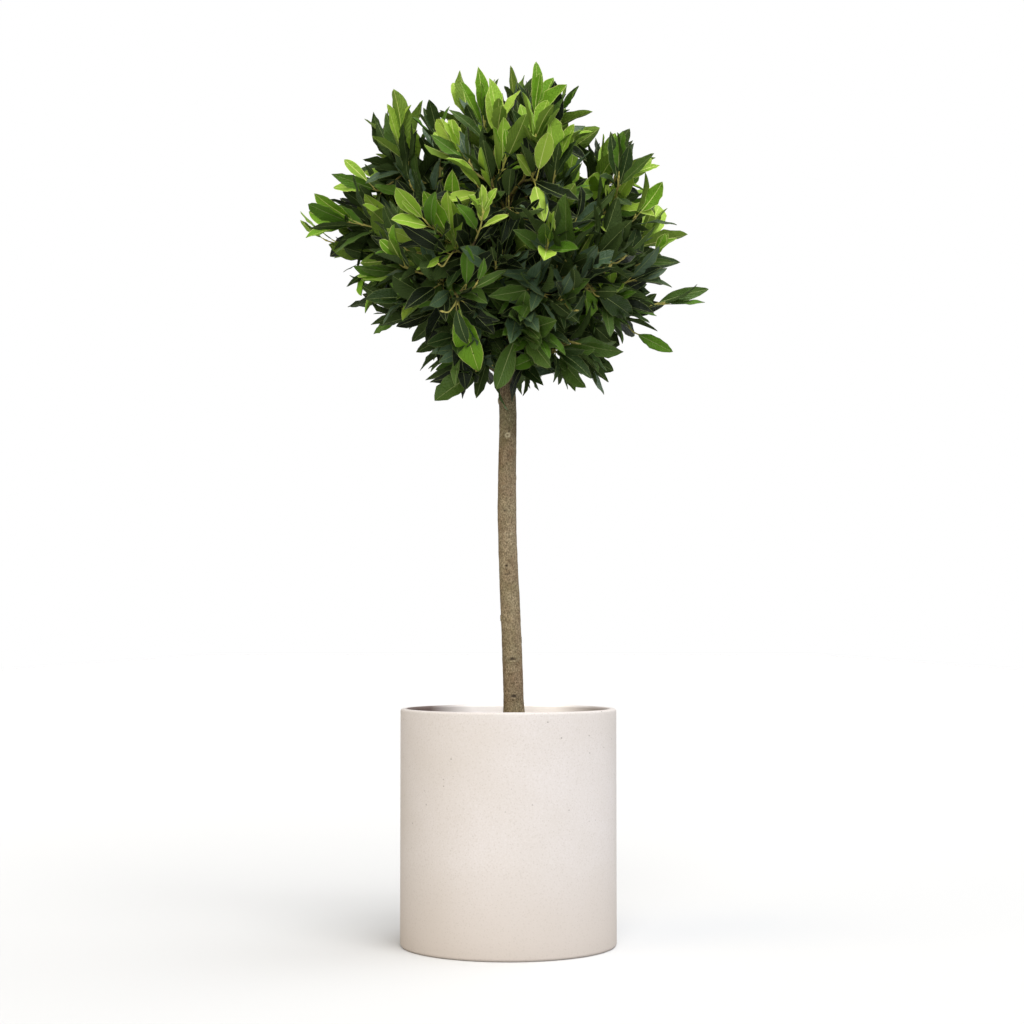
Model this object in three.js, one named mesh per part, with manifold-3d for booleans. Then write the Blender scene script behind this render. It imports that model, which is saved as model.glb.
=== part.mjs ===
// A standard bay: one straight stem, a clipped round head of leaves, and the round planter it grows in.
// Millimetres, +Z up. The origin is the centre of the planter's underside. -Y is the front.
import * as THREE from "three";
import { mergeVertices } from "three/addons/utils/BufferGeometryUtils.js";
import Module from "manifold-3d";

const wasm = await Module();
wasm.setup();

// ---------------------------------------------------------------- driving dimensions

const GAP = 0.3; // between two solids that touch

const PLANTER = {
  diameter: 350,
  height: 381,
  wall: 14,
  floor: 26,
  lipRadius: 4.5,
  footRadius: 5,
  innerCorner: 10,
  segments: 36,
};

const COMPOST = {
  belowRim: 32, // from the planter's rim down to the middle of the compost
  flatRadius: 70, // level round the stem
  edgeDrop: 5, // lower by this at the wall
  segments: 24,
};

const GROUND = PLANTER.height - COMPOST.belowRim; // the level at which the stem comes out

// Height above the ground, then how far the stem's axis stands from the planter's, along X and Y.
// The line starts just below the ground, and the stem is cut off flat there.
const STEM_LINE = [
  [-10, 10, 0],
  [75, 7.6, 1],
  [180, 4, 2.5],
  [285, -0.8, 3],
  [390, -2.5, 2],
  [520, -1, 0],
  [590, -6, -1],
  [645, -15, 0],
];

// Height above the ground, then the stem's radius there: a low flare, a slow taper and a knuckle.
const STEM_GIRTH = [
  [-10, 23],
  [0, 23],
  [12, 19.5],
  [34, 17.2],
  [90, 16.4],
  [170, 16],
  [250, 15.6],
  [330, 15.2],
  [410, 14.8],
  [480, 14.4],
  [540, 14.1],
  [600, 14],
  [632, 15.5],
  [645, 13],
];

const STEM_SIDES = 12;

const BOUGH = {
  sides: 6,
  rings: 5,
  seat: 9, // how far its end stands in the mass it carries
  taper: 0.55, // end radius over start radius
  early: [0.25, 0.36], // shares of its way out and of its climb that it has made early on,
  late: [0.6, 0.74], // and later
};

// The open middle of the head, where the boughs part, and the middle that the sprays point away from.
const HEART = { at: [-8, 0, 1052], radii: [98, 98, 112] };
const HEAD_MIDDLE = [-6, 0, 1165];

const MASS = {
  detail: 3, // subdivisions of each edge of the starting icosahedron
  smallDetail: 2, // the same, on a mass smaller than smallSize
  smallSize: 90,
  lumps: 5, // waves that make the surface uneven
  lumpHeight: 0.08, // of each wave, as a share of the mass's half width
  lumpPitch: [3.3, 7.7], // waves per radian, from and to
  sprays: 9, // pointed sprays on each mass
  sprayReach: [1.056, 1.224], // times the mass's half width, from and to
  spraySpread: 2.1, // how widely the sprays turn away from straight outward
  pointWidth: 0.42, // radians, of a spray or a tip at its foot
  sprayPoint: 1.2, // how sharply a spray rises to its point
  tipPoint: 1.4, // how sharply a named tip does
  meetWithin: 2.1, // masses meet when their middles are nearer than this times their sizes' sum
  firstSeed: 101,
  seedStep: 17,
};

// Each mass of leaves: where its middle is, its three half widths, the furthest tips that it
// reaches, and the bough that carries it: the height at which it leaves the stem, and its radius.
const MASSES = {
  top: {
    at: [2, 0, 1342],
    radii: [94, 100, 82],
    tips: [[16, -20, 1446], [-85, -15, 1434], [91, -10, 1436], [140, -5, 1400]],
    bough: [645, 9],
  },
  upper_left: {
    at: [-156, -30, 1286],
    radii: [74, 102, 86],
    tips: [[-163, -45, 1397], [-110, -20, 1376]],
    bough: [628, 8],
  },
  upper_right: {
    at: [138, -10, 1256],
    radii: [82, 100, 82],
    tips: [[176, -30, 1346], [246, -20, 1312], [232, 30, 1262]],
    bough: [634, 8],
  },
  upper_front: {
    at: [5, -150, 1262],
    radii: [108, 88, 94],
    tips: [[30, -236, 1300], [-60, -226, 1250]],
    bough: [641, 8],
  },
  upper_back: {
    at: [-10, 145, 1272],
    radii: [116, 92, 92],
    tips: [[-20, 228, 1330], [70, 236, 1262]],
    bough: [637, 8],
  },
  left: {
    at: [-212, 10, 1178],
    radii: [78, 104, 78],
    tips: [[-350, -5, 1178], [-284, -20, 1284], [-318, -30, 1138]],
    bough: [606, 8],
  },
  right: {
    at: [178, 20, 1160],
    radii: [78, 104, 84],
    tips: [[278, -15, 1166], [258, 0, 1240]],
    bough: [612, 8],
  },
  front_left: {
    at: [-98, -165, 1140],
    radii: [106, 88, 98],
    tips: [[-120, -264, 1130], [-170, -236, 1170]],
    bough: [618, 7.5],
  },
  front_right: {
    at: [96, -163, 1130],
    radii: [104, 88, 98],
    tips: [[110, -260, 1120], [172, -222, 1150]],
    bough: [600, 7.5],
  },
  back_left: {
    at: [-105, 165, 1148],
    radii: [108, 90, 100],
    tips: [[-130, 262, 1160], [-180, 228, 1130]],
    bough: [622, 7.5],
  },
  back_right: {
    at: [95, 166, 1142],
    radii: [108, 90, 100],
    tips: [[130, 260, 1130], [182, 226, 1170]],
    bough: [608, 7.5],
  },
  low_left: {
    at: [-158, -15, 1060],
    radii: [76, 95, 62],
    tips: [[-276, -25, 1094], [-206, -40, 1000], [-156, -30, 985]],
    bough: [590, 7],
  },
  low_right: {
    at: [158, -10, 1045],
    radii: [80, 98, 68],
    tips: [[312, -30, 1030], [282, -20, 1088], [290, -45, 948]],
    bough: [582, 7],
  },
  low_front: {
    at: [20, -125, 1010],
    radii: [90, 66, 70],
    tips: [[60, -140, 918]],
    bough: [575, 6.5],
  },
  low_back: {
    at: [5, 130, 1014],
    radii: [98, 70, 72],
    tips: [[30, 140, 905], [-60, 150, 918]],
    bough: [580, 6.5],
  },
  skirt_left: {
    at: [-85, -30, 962],
    radii: [56, 70, 52],
    tips: [[-114, -40, 888], [-30, -45, 868]],
    bough: [562, 5.5],
  },
  skirt_right: {
    at: [100, -25, 950],
    radii: [56, 72, 52],
    tips: [[147, -30, 886], [84, -40, 868], [162, -20, 932]],
    bough: [568, 5.5],
  },
};

// ---------------------------------------------------------------- finishes

const finish = (color, roughness) => () => new THREE.MeshStandardMaterial({ color, roughness, metalness: 0 });
const castStone = finish(0xe6dfd8, 0.85);
const compostBrown = finish(0x3a2c20, 0.95);
const bark = finish(0x84765a, 0.85);
const leafGreen = finish(0x46611f, 0.5);

// ---------------------------------------------------------------- solids and geometry

function toSolid(geometry) {
  const bare = new THREE.BufferGeometry();
  bare.setAttribute("position", geometry.getAttribute("position"));
  bare.setIndex(geometry.getIndex());
  const merged = mergeVertices(bare, 1e-3);
  return new wasm.Manifold(
    new wasm.Mesh({
      numProp: 3,
      vertProperties: merged.attributes.position.array,
      triVerts: new Uint32Array(merged.index.array),
    }),
  );
}

function toGeometry(solid) {
  const mesh = solid.getMesh();
  const geometry = new THREE.BufferGeometry();
  geometry.setAttribute("position", new THREE.BufferAttribute(mesh.vertProperties, mesh.numProp));
  geometry.setIndex(new THREE.BufferAttribute(mesh.triVerts, 1));
  geometry.computeVertexNormals();
  return geometry;
}

function largestBody(solid) {
  return solid.decompose().reduce((best, body) => (body.volume() > best.volume() ? body : best));
}

function namedMesh(name, geometry, material) {
  const mesh = new THREE.Mesh(geometry, material());
  mesh.name = name;
  return mesh;
}

// A block that fills the space on the far side of a plane.
function beyondPlane(point, normal) {
  const size = 4 * PLANTER.height; // more than the whole tree
  const block = new THREE.BoxGeometry(size, size, size).translate(0, 0, size / 2);
  const turn = new THREE.Quaternion().setFromUnitVectors(new THREE.Vector3(0, 0, 1), normal);
  block.applyQuaternion(turn).translate(point.x, point.y, point.z);
  return toSolid(block);
}

// A small seeded generator, so that every build is the same.
function seededRandom(seed) {
  let state = seed >>> 0;
  return () => {
    state = (state + 0x6d2b79f5) >>> 0;
    let mixed = Math.imul(state ^ (state >>> 15), state | 1);
    mixed ^= mixed + Math.imul(mixed ^ (mixed >>> 7), mixed | 61);
    return ((mixed ^ (mixed >>> 14)) >>> 0) / 4294967296;
  };
}

// ---------------------------------------------------------------- planter and compost

function cornerArc(x, z, radius, fromDegrees, toDegrees, steps = 2) {
  const turn = THREE.MathUtils.degToRad(toDegrees - fromDegrees);
  const start = THREE.MathUtils.degToRad(fromDegrees);
  return Array.from({ length: steps + 1 }, (_, i) => {
    const angle = start + (turn * i) / steps;
    return new THREE.Vector2(x + radius * Math.cos(angle), z + radius * Math.sin(angle));
  });
}

// A profile of radius and height, turned about the vertical axis.
function turned(profile, segments) {
  return new THREE.LatheGeometry(profile, segments).rotateX(Math.PI / 2);
}

function makePlanter() {
  const { height, wall, floor, lipRadius, footRadius, innerCorner, segments } = PLANTER;
  const outer = PLANTER.diameter / 2;
  const inner = outer - wall;
  const profile = [
    new THREE.Vector2(0, 0),
    ...cornerArc(outer - footRadius, footRadius, footRadius, -90, 0),
    ...cornerArc(outer - lipRadius, height - lipRadius, lipRadius, 0, 90),
    ...cornerArc(inner + lipRadius, height - lipRadius, lipRadius, 90, 180),
    ...cornerArc(inner - innerCorner, floor + innerCorner, innerCorner, 0, -90),
    new THREE.Vector2(0, floor),
  ];
  return namedMesh("planter", turned(profile, segments), castStone);
}

function makeCompost() {
  const { flatRadius, edgeDrop, segments } = COMPOST;
  const corner = PLANTER.innerCorner;
  const radius = PLANTER.diameter / 2 - PLANTER.wall - GAP;
  const bottom = PLANTER.floor + GAP;
  const profile = [
    new THREE.Vector2(0, bottom),
    ...cornerArc(radius - corner, bottom + corner, corner, -90, 0),
    new THREE.Vector2(radius, GROUND - edgeDrop),
    new THREE.Vector2(flatRadius, GROUND),
    new THREE.Vector2(0, GROUND),
  ];
  // The compost is drawn in a little, so that its corners clear the planter's flats.
  const clear = Math.cos(Math.PI / PLANTER.segments);
  const inside = profile.map((point) => new THREE.Vector2(point.x * clear, point.y));
  return namedMesh("compost", turned(inside, segments), compostBrown);
}

// ---------------------------------------------------------------- stem and boughs

// A closed round limb along a curve, as rings of [share of its length, radius]. growth makes it
// larger all round, ends included.
function limb(curve, rings, sides, growth) {
  const overall = curve.getPointAt(1).sub(curve.getPointAt(0));
  const isSteep = Math.abs(overall.z) > Math.hypot(overall.x, overall.y);
  const aside = isSteep ? new THREE.Vector3(0, 1, 0) : new THREE.Vector3(0, 0, 1);
  const positions = [];
  const index = [];
  const ends = [];
  rings.forEach(([share, radius], ring) => {
    const tangent = curve.getTangentAt(share);
    const across = tangent.clone().cross(aside).normalize();
    const over = tangent.clone().cross(across);
    const middle = curve.getPointAt(share);
    if (ring === 0) middle.addScaledVector(tangent, -growth);
    if (ring === rings.length - 1) middle.addScaledVector(tangent, growth);
    if (ring === 0 || ring === rings.length - 1) ends.push(middle);
    for (let side = 0; side < sides; side += 1) {
      const angle = (2 * Math.PI * side) / sides;
      const point = middle
        .clone()
        .addScaledVector(across, (radius + growth) * Math.cos(angle))
        .addScaledVector(over, (radius + growth) * Math.sin(angle));
      positions.push(...point);
    }
  });
  const lastRing = (rings.length - 1) * sides;
  const endMiddles = rings.length * sides;
  positions.push(...ends[0], ...ends[1]);
  for (let side = 0; side < sides; side += 1) {
    const beside = (side + 1) % sides;
    for (let start = 0; start < lastRing; start += sides) {
      const here = start + side;
      const next = start + beside;
      index.push(here, next, next + sides, here, next + sides, here + sides);
    }
    index.push(endMiddles, beside, side);
    index.push(endMiddles + 1, lastRing + side, lastRing + beside);
  }
  const geometry = new THREE.BufferGeometry();
  geometry.setAttribute("position", new THREE.Float32BufferAttribute(positions, 3));
  geometry.setIndex(index);
  return geometry;
}

const stemPoints = STEM_LINE.map(([height, x, y]) => new THREE.Vector3(x, y, GROUND + GAP + height));
const stemCurve = new THREE.CatmullRomCurve3(stemPoints);

// The share of the stem's length at which it reaches a height above the ground.
function stemShare(height) {
  let low = 0;
  let high = 1;
  while (high - low > 1e-6) {
    const half = (low + high) / 2;
    if (stemCurve.getPointAt(half).z < GROUND + GAP + height) low = half;
    else high = half;
  }
  return high;
}

function stemSolid(growth) {
  const rings = STEM_GIRTH.map(([height, radius]) => [stemShare(height), radius]);
  const foot = new THREE.Vector3(0, 0, GROUND + GAP);
  const below = beyondPlane(foot, new THREE.Vector3(0, 0, -1));
  return toSolid(limb(stemCurve, rings, STEM_SIDES, growth)).subtract(below);
}

// ---------------------------------------------------------------- masses of leaves

function makeLumps(random) {
  return Array.from({ length: MASS.lumps }, () => ({
    along: new THREE.Vector3(random() - 0.5, random() - 0.5, random() - 0.5)
      .normalize()
      .multiplyScalar(THREE.MathUtils.lerp(...MASS.lumpPitch, random())),
    phase: 2 * Math.PI * random(),
  }));
}

// Pointed sprays stand on the side of the mass that faces away from the middle of the head.
function makeSprays(mass, middle, random) {
  const outward = middle.clone().sub(new THREE.Vector3(...HEAD_MIDDLE)).normalize();
  return Array.from({ length: MASS.sprays }, () => {
    const scatter = new THREE.Vector3(random() - 0.5, random() - 0.5, random() - 0.5);
    const along = outward.clone().addScaledVector(scatter, MASS.spraySpread).normalize();
    return { along, reach: THREE.MathUtils.lerp(...MASS.sprayReach, random()) };
  });
}

function ellipsoidRadius(along, [x, y, z]) {
  return 1 / Math.hypot(along.x / x, along.y / y, along.z / z);
}

// How far a point has risen in one direction: 1 at its tip, and 0 at its foot all round.
function rise(along, tip, sharpness) {
  return Math.max(0, 1 - along.angleTo(tip) / MASS.pointWidth) ** sharpness;
}

// How far a mass's surface stands from its middle in one direction.
function surfaceRadius(shape, along) {
  const waves = shape.lumps.reduce((sum, lump) => sum + Math.sin(lump.along.dot(along) + lump.phase), 0);
  const even = ellipsoidRadius(along, shape.radii);
  let radius = even * (1 + MASS.lumpHeight * waves);
  for (const spray of shape.sprays) {
    const risen = rise(along, spray.along, MASS.sprayPoint);
    radius = Math.max(radius, THREE.MathUtils.lerp(radius, even * spray.reach, risen));
  }
  for (const tip of shape.tips) {
    const risen = rise(along, tip, MASS.tipPoint);
    radius = Math.max(radius, THREE.MathUtils.lerp(radius, tip.length(), risen));
  }
  return radius;
}

function massShape(mass, seed) {
  const random = seededRandom(seed);
  const middle = new THREE.Vector3(...mass.at);
  return {
    middle,
    radii: mass.radii,
    size: Math.cbrt(mass.radii[0] * mass.radii[1] * mass.radii[2]),
    tips: mass.tips.map((tip) => new THREE.Vector3(...tip).sub(middle)),
    lumps: makeLumps(random),
    sprays: makeSprays(mass, middle, random),
  };
}

function massGeometry(shape) {
  const detail = shape.size < MASS.smallSize ? MASS.smallDetail : MASS.detail;
  const ball = new THREE.IcosahedronGeometry(1, detail);
  ball.deleteAttribute("normal");
  ball.deleteAttribute("uv");
  const geometry = mergeVertices(ball, 1e-4);
  const position = geometry.getAttribute("position");
  const along = new THREE.Vector3();
  const directions = [];
  for (let i = 0; i < position.count; i += 1) {
    along.fromBufferAttribute(position, i).normalize();
    directions.push(along.clone());
    along.multiplyScalar(surfaceRadius(shape, along)).add(shape.middle);
    position.setXYZ(i, along.x, along.y, along.z);
  }
  // The corner nearest each named tip is drawn out to it.
  for (const tip of shape.tips) {
    const angles = directions.map((direction) => direction.angleTo(tip));
    const nearest = angles.indexOf(Math.min(...angles));
    const reached = tip.clone().add(shape.middle);
    position.setXYZ(nearest, reached.x, reached.y, reached.z);
  }
  return geometry;
}

// Neighbouring masses share the space between them at the plane where their sizes balance.
function keptOnOwnSide(solid, shape, other) {
  const across = other.middle.clone().sub(shape.middle);
  const distance = across.length();
  if (distance > MASS.meetWithin * (shape.size + other.size)) return solid;
  const share = (distance ** 2 + shape.size ** 2 - other.size ** 2) / (2 * distance);
  const normal = across.normalize();
  const point = shape.middle.clone().addScaledVector(normal, share - GAP / 2);
  return solid.subtract(beyondPlane(point, normal));
}

function heartSolid() {
  const ball = new THREE.IcosahedronGeometry(1, 1).scale(...HEART.radii).translate(...HEART.at);
  return toSolid(ball);
}

// ---------------------------------------------------------------- boughs to their masses

function insideHeart(point) {
  const [x, y, z] = point.toArray().map((value, axis) => (value - HEART.at[axis]) / HEART.radii[axis]);
  return Math.hypot(x, y, z) < 1;
}

// How far a point is from belonging to a mass; it belongs to the mass that gives the least.
function claim(shape, point) {
  return shape.middle.distanceToSquared(point) - shape.size ** 2;
}

function insideMass(shape, point, shapes) {
  const out = point.clone().sub(shape.middle);
  const distance = out.length();
  const own = shapes.every((other) => claim(shape, point) <= claim(other, point));
  return own && distance < surfaceRadius(shape, out.normalize()) && !insideHeart(point);
}

// The line of a bough: out of the stem's axis, up through the heart, then over into its mass.
function boughCurve(shape, [leaves], shapes) {
  const start = stemCurve.getPointAt(stemShare(leaves));
  const end = new THREE.Vector3(...HEART.at);
  const towards = shape.middle.clone().sub(end).normalize();
  while (!insideMass(shape, end, shapes)) end.add(towards);
  end.addScaledVector(towards, BOUGH.seat);
  const across = end.clone().sub(start).setZ(0);
  const climb = end.z - start.z;
  const early = start.clone().addScaledVector(across, BOUGH.early[0]);
  early.z += climb * BOUGH.early[1];
  const late = start.clone().addScaledVector(across, BOUGH.late[0]);
  late.z += climb * BOUGH.late[1];
  return new THREE.CatmullRomCurve3([start, early, late, end]);
}

function boughSolid(curve, [, girth], growth) {
  const rings = Array.from({ length: BOUGH.rings + 1 }, (_, ring) => {
    const share = ring / BOUGH.rings;
    return [share, girth * THREE.MathUtils.lerp(1, BOUGH.taper, share)];
  });
  return toSolid(limb(curve, rings, BOUGH.sides, growth));
}

// ---------------------------------------------------------------- assembly

function makeTree() {
  const tree = new THREE.Group();
  tree.add(namedMesh("trunk", toGeometry(stemSolid(0)), bark));

  const shapes = {};
  Object.entries(MASSES).forEach(([name, mass], i) => {
    shapes[name] = massShape(mass, MASS.firstSeed + MASS.seedStep * i);
  });

  const taken = [stemSolid(GAP)]; // what the later limbs and the masses keep clear of
  for (const [name, mass] of Object.entries(MASSES)) {
    const curve = boughCurve(shapes[name], mass.bough, Object.values(shapes));
    const cut = taken.reduce((solid, other) => solid.subtract(other), boughSolid(curve, mass.bough, 0));
    tree.add(namedMesh(`bough_${name}`, toGeometry(largestBody(cut)), bark));
    taken.push(boughSolid(curve, mass.bough, GAP));
  }

  const heart = heartSolid();
  for (const [name, shape] of Object.entries(shapes)) {
    let solid = toSolid(massGeometry(shape)).subtract(heart);
    for (const other of Object.values(shapes)) {
      if (other !== shape) solid = keptOnOwnSide(solid, shape, other);
    }
    solid = taken.reduce((rest, other) => rest.subtract(other), solid);
    tree.add(namedMesh(`foliage_${name}`, toGeometry(largestBody(solid)), leafGreen));
  }
  return tree;
}

const standardBay = new THREE.Group();
standardBay.add(makePlanter(), makeCompost(), makeTree());

export default standardBay;
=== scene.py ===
"""A standard bay tree in its cast stone planter: a clear stem, a fork of boughs and a round head of leaves.

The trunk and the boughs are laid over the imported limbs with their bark. From the ends of the boughs, twigs
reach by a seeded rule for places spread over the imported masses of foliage, and each ends in a leafy shoot.
"""

import math

import bpy
import numpy as np
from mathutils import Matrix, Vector, noise
from mathutils.bvhtree import BVHTree


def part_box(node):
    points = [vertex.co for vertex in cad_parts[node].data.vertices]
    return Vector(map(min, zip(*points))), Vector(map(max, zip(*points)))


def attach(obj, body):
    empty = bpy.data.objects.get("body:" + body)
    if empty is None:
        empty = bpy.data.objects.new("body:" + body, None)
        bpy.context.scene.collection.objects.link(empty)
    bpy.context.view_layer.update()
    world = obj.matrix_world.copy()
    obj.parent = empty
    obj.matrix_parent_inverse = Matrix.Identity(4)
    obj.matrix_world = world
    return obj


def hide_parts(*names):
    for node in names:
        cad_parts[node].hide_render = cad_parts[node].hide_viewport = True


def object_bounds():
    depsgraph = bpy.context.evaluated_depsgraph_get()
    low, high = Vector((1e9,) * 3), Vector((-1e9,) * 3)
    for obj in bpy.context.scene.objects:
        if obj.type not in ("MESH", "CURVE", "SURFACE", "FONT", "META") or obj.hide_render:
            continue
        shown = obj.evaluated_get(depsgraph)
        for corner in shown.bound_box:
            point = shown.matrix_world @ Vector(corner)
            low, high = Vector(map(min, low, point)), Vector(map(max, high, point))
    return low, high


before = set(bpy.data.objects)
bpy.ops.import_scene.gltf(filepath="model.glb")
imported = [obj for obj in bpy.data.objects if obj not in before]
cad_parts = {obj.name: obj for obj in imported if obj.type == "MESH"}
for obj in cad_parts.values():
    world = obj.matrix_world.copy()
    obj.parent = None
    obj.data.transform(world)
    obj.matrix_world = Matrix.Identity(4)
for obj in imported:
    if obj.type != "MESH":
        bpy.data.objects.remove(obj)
cad_low, cad_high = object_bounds()

MM = 0.001
BODY = "root"
UP = np.array([0.0, 0.0, 1.0])
GOLDEN_ANGLE = math.radians(137.5)

# Planter
WALL = 14 * MM
BASE = 26 * MM
LIP_RADIUS = 4 * MM
FOOT_RADIUS = 5 * MM
INNER_CORNER = 10 * MM
PLANTER_SIDES = 176
OUTER_ROWS = 26
INNER_ROWS = 22

# Compost: how far its crown falls to the wall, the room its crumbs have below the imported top, and where
# its bark chips lie and how large they are.
COMPOST_SIDES = 120
COMPOST_RINGS = 44
CROWN_FALL = 5 * MM
CRUMB_ROOM = 1.5 * MM
CHIPS = 520
CHIP_SIZES = (3, 8.5)
CHIP_FLATNESS = (0.2, 0.45)
ROOM_FOR_TRUNK = 26 * MM
ROOM_AT_WALL = 8 * MM

# Trunk and boughs
RING_APART = 4 * MM
TRUNK_STEP = 2.3 * MM
TRUNK_SIDES = 72
BOUGH_STEP = 4.5 * MM
BOUGH_SIDES = 14
COLLAR = 1.45
COLLAR_LENGTH = 22 * MM
LEAST_BOUGH = 2.2 * MM

# A bough's line: how far below the fork it is seated, how many packed corners make each of its ends, the
# share of it next to the trunk that isn't followed, and how hard its seat and its end hold it.
SEAT_DEPTH = 10 * MM
END_CORNERS = 7
SEAT_SHARE = 0.3
SEAT_HOLD = 60
END_HOLD = 20

# Where sprays grow
SPRAY_SPACING = 56 * MM
OPEN_AIR = 70 * MM
JUT_SPAN = 45 * MM
INNER_TRIES = 420
INNER_SPACING = 54 * MM
INNER_DEPTH = 22 * MM
INNER_FLOOR = 0.28
FORK_SPRAYS = 17
FORK_REACH = (75, 130)
FORK_RISE = (-55, 50)

# Twigs: what a detour and a turn cost them in length, and how their girths add up towards the trunk.
BARE_SHARE = 0.4
LEAST_TWIG = 12 * MM
TWIG_STEP = 11 * MM
TWIG_SIDES = 6
DETOUR = 0.45
TURN_COST = 34 * MM
PIPE_POWER = 2.35
SHOOT_GIRTH = 1.55 * MM

# Shoots and leaves
LEAFY_LENGTH = 50 * MM
USUAL_LEAVES = 8
OUTER_LEAVES = (7.5, 10.5)
INNER_LEAVES = (5, 8)
NEW_LEAVES = (5, 9)
TURNED_OVER_SHARE = 0.035
LEAF_LENGTH = 77 * MM
LEAF_ROWS = 12
LEAF_THICKNESS = 0.45 * MM
LEAST_HALF_WIDTH = 0.25 * MM
MARGIN_WIDTH = 0.6 * MM
# How far a blade's edge waves and how deep it is nicked, as shares of its half width.
EDGE_WAVE = 0.06
EDGE_NICK = 0.055
STALK_GIRTH = 1.1 * MM
STALK_LENGTH = (10, 17)
BUD_REACH = (-1.5, 7.5)
BUD_GIRTHS = (0.9, 1.5, 1.7, 1.35, 0.8, 0.25)
# How far a leaf's tip may stand out of the masses, and out of the whole part's box.
STRAY = 20 * MM

FIRST_SEED = 10

MASSES = sorted(n[len("foliage_"):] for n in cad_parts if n.startswith("foliage_"))


# ---------------------------------------------------------------------------------------------- numbers

def unit(vectors):
    """The vectors at length one."""
    vectors = np.asarray(vectors, float)
    return vectors / np.maximum(np.linalg.norm(vectors, axis=-1, keepdims=True), 1e-12)


def smooth_between(knots, values, places):
    """A smooth curve through the values at the knots, read at the given places."""
    knots = np.asarray(knots, float)
    values = np.asarray(values, float)
    slopes = np.gradient(values, knots, axis=0)
    i = np.clip(np.searchsorted(knots, places) - 1, 0, len(knots) - 2)
    span = knots[i + 1] - knots[i]
    t = (places - knots[i]) / span
    if values.ndim > 1:
        t = t[:, None]
        span = span[:, None]
    rise = t * t * (3 - 2 * t)
    return (
        values[i] * (1 - rise)
        + values[i + 1] * rise
        + slopes[i] * span * t * (1 - t) ** 2
        - slopes[i + 1] * span * t * t * (1 - t)
    )


def lengths_along(points):
    """The distance travelled to each point of a path."""
    steps = np.linalg.norm(np.diff(points, axis=0), axis=1)
    return np.concatenate([[0.0], np.cumsum(steps)])


def headings_along(points):
    """The heading of a path at each of its points."""
    return unit(np.gradient(points, axis=0))


def side_vectors(points, first_side=(1.0, 0.0, 0.0)):
    """Two side vectors at each point of a path, carried along without twist."""
    headings = headings_along(points)
    side = np.array(first_side, float)
    if abs(headings[0] @ side) > 0.9:
        side = np.array([0.0, 1.0, 0.0])
    sides = []
    for heading in headings:
        side = unit(side - heading * (side @ heading))
        sides.append(side)
    sides = np.array(sides)
    return sides, np.cross(headings, sides)


def bell(distance, width):
    """1 at no distance, falling to nothing over a few widths."""
    return np.exp(-((distance / width) ** 2))


def relief(points, pitch, stretch=(1.0, 1.0, 1.0), octaves=1, seed=0.0):
    """Smooth noise of about the given pitch at each point, between -1 and 1."""
    scaled = np.asarray(points) / pitch * np.array(stretch) + seed
    if octaves == 1:
        return np.array([noise.noise(Vector(p)) for p in scaled])
    return np.array([noise.fractal(Vector(p), 1.0, 2.1, octaves) for p in scaled])


# --------------------------------------------------------------------------------------- making meshes

class Stock:
    """Vertices and faces gathered for one piece."""

    def __init__(self):
        self.vertices = []
        self.faces = []
        self.slots = []
        self.places = []
        self.marks = []
        self.count = 0

    def add(self, vertices, faces, slot=0, places=None, marks=None):
        """Adds vertices with their faces, each face's slot, each vertex's place on a map and its mark."""
        vertices = np.asarray(vertices, float).reshape(-1, 3)
        for group in faces:
            group = np.asarray(group, int)
            self.faces.append(group + self.count)
        sizes = [len(group) for group in faces]
        if np.ndim(slot) == 0:
            self.slots += [np.full(size, slot) for size in sizes]
        else:
            self.slots += list(np.split(np.asarray(slot), np.cumsum(sizes)[:-1]))
        self.vertices.append(vertices)
        blank = np.zeros((len(vertices), 2))
        self.places.append(blank if places is None else np.asarray(places, float).reshape(-1, 2))
        self.marks.append(np.zeros(len(vertices)) if marks is None else np.asarray(marks, float).ravel())
        self.count += len(vertices)

    def piece(self, name, materials, map_name=None, mark_name=None, sharp=None):
        """The finished object, in the row frame."""
        vertices = np.concatenate(self.vertices)
        corners = np.concatenate([group.ravel() for group in self.faces])
        totals = np.concatenate([np.full(len(group), group.shape[1]) for group in self.faces])
        starts = np.concatenate([[0], np.cumsum(totals)[:-1]])
        mesh = bpy.data.meshes.new(name)
        mesh.vertices.add(len(vertices))
        mesh.vertices.foreach_set("co", vertices.astype(np.float32).ravel())
        mesh.loops.add(len(corners))
        mesh.loops.foreach_set("vertex_index", corners.astype(np.int32))
        mesh.polygons.add(len(totals))
        mesh.polygons.foreach_set("loop_start", starts.astype(np.int32))
        mesh.polygons.foreach_set("material_index", np.concatenate(self.slots).astype(np.int32))
        mesh.update(calc_edges=True)
        mesh.polygons.foreach_set("use_smooth", np.ones(len(totals), bool))
        if map_name:
            layer = mesh.uv_layers.new(name=map_name)
            places = np.concatenate(self.places)[corners]
            layer.data.foreach_set("uv", places.astype(np.float32).ravel())
        if mark_name:
            marks = mesh.attributes.new(mark_name, "FLOAT", "POINT")
            marks.data.foreach_set("value", np.concatenate(self.marks).astype(np.float32))
        if sharp is not None:
            ends = np.empty(len(mesh.edges) * 2, np.int32)
            mesh.edges.foreach_get("vertices", ends)
            mesh.edges.foreach_set("use_edge_sharp", sharp(ends.reshape(-1, 2)))
        for material in materials:
            mesh.materials.append(material)
        mesh.validate()
        made = bpy.data.objects.new(name, mesh)
        bpy.context.scene.collection.objects.link(made)
        return made


def grid_faces(rows, columns, closed=True):
    """The four-sided faces of a grid of vertices, its columns joined round if it is closed."""
    row = np.arange(rows - 1)[:, None]
    column = np.arange(columns if closed else columns - 1)[None, :]
    after = (column + 1) % columns
    corners = [row * columns + column, row * columns + after,
               (row + 1) * columns + after, (row + 1) * columns + column]
    return np.stack(corners, axis=-1).reshape(-1, 4)


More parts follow.
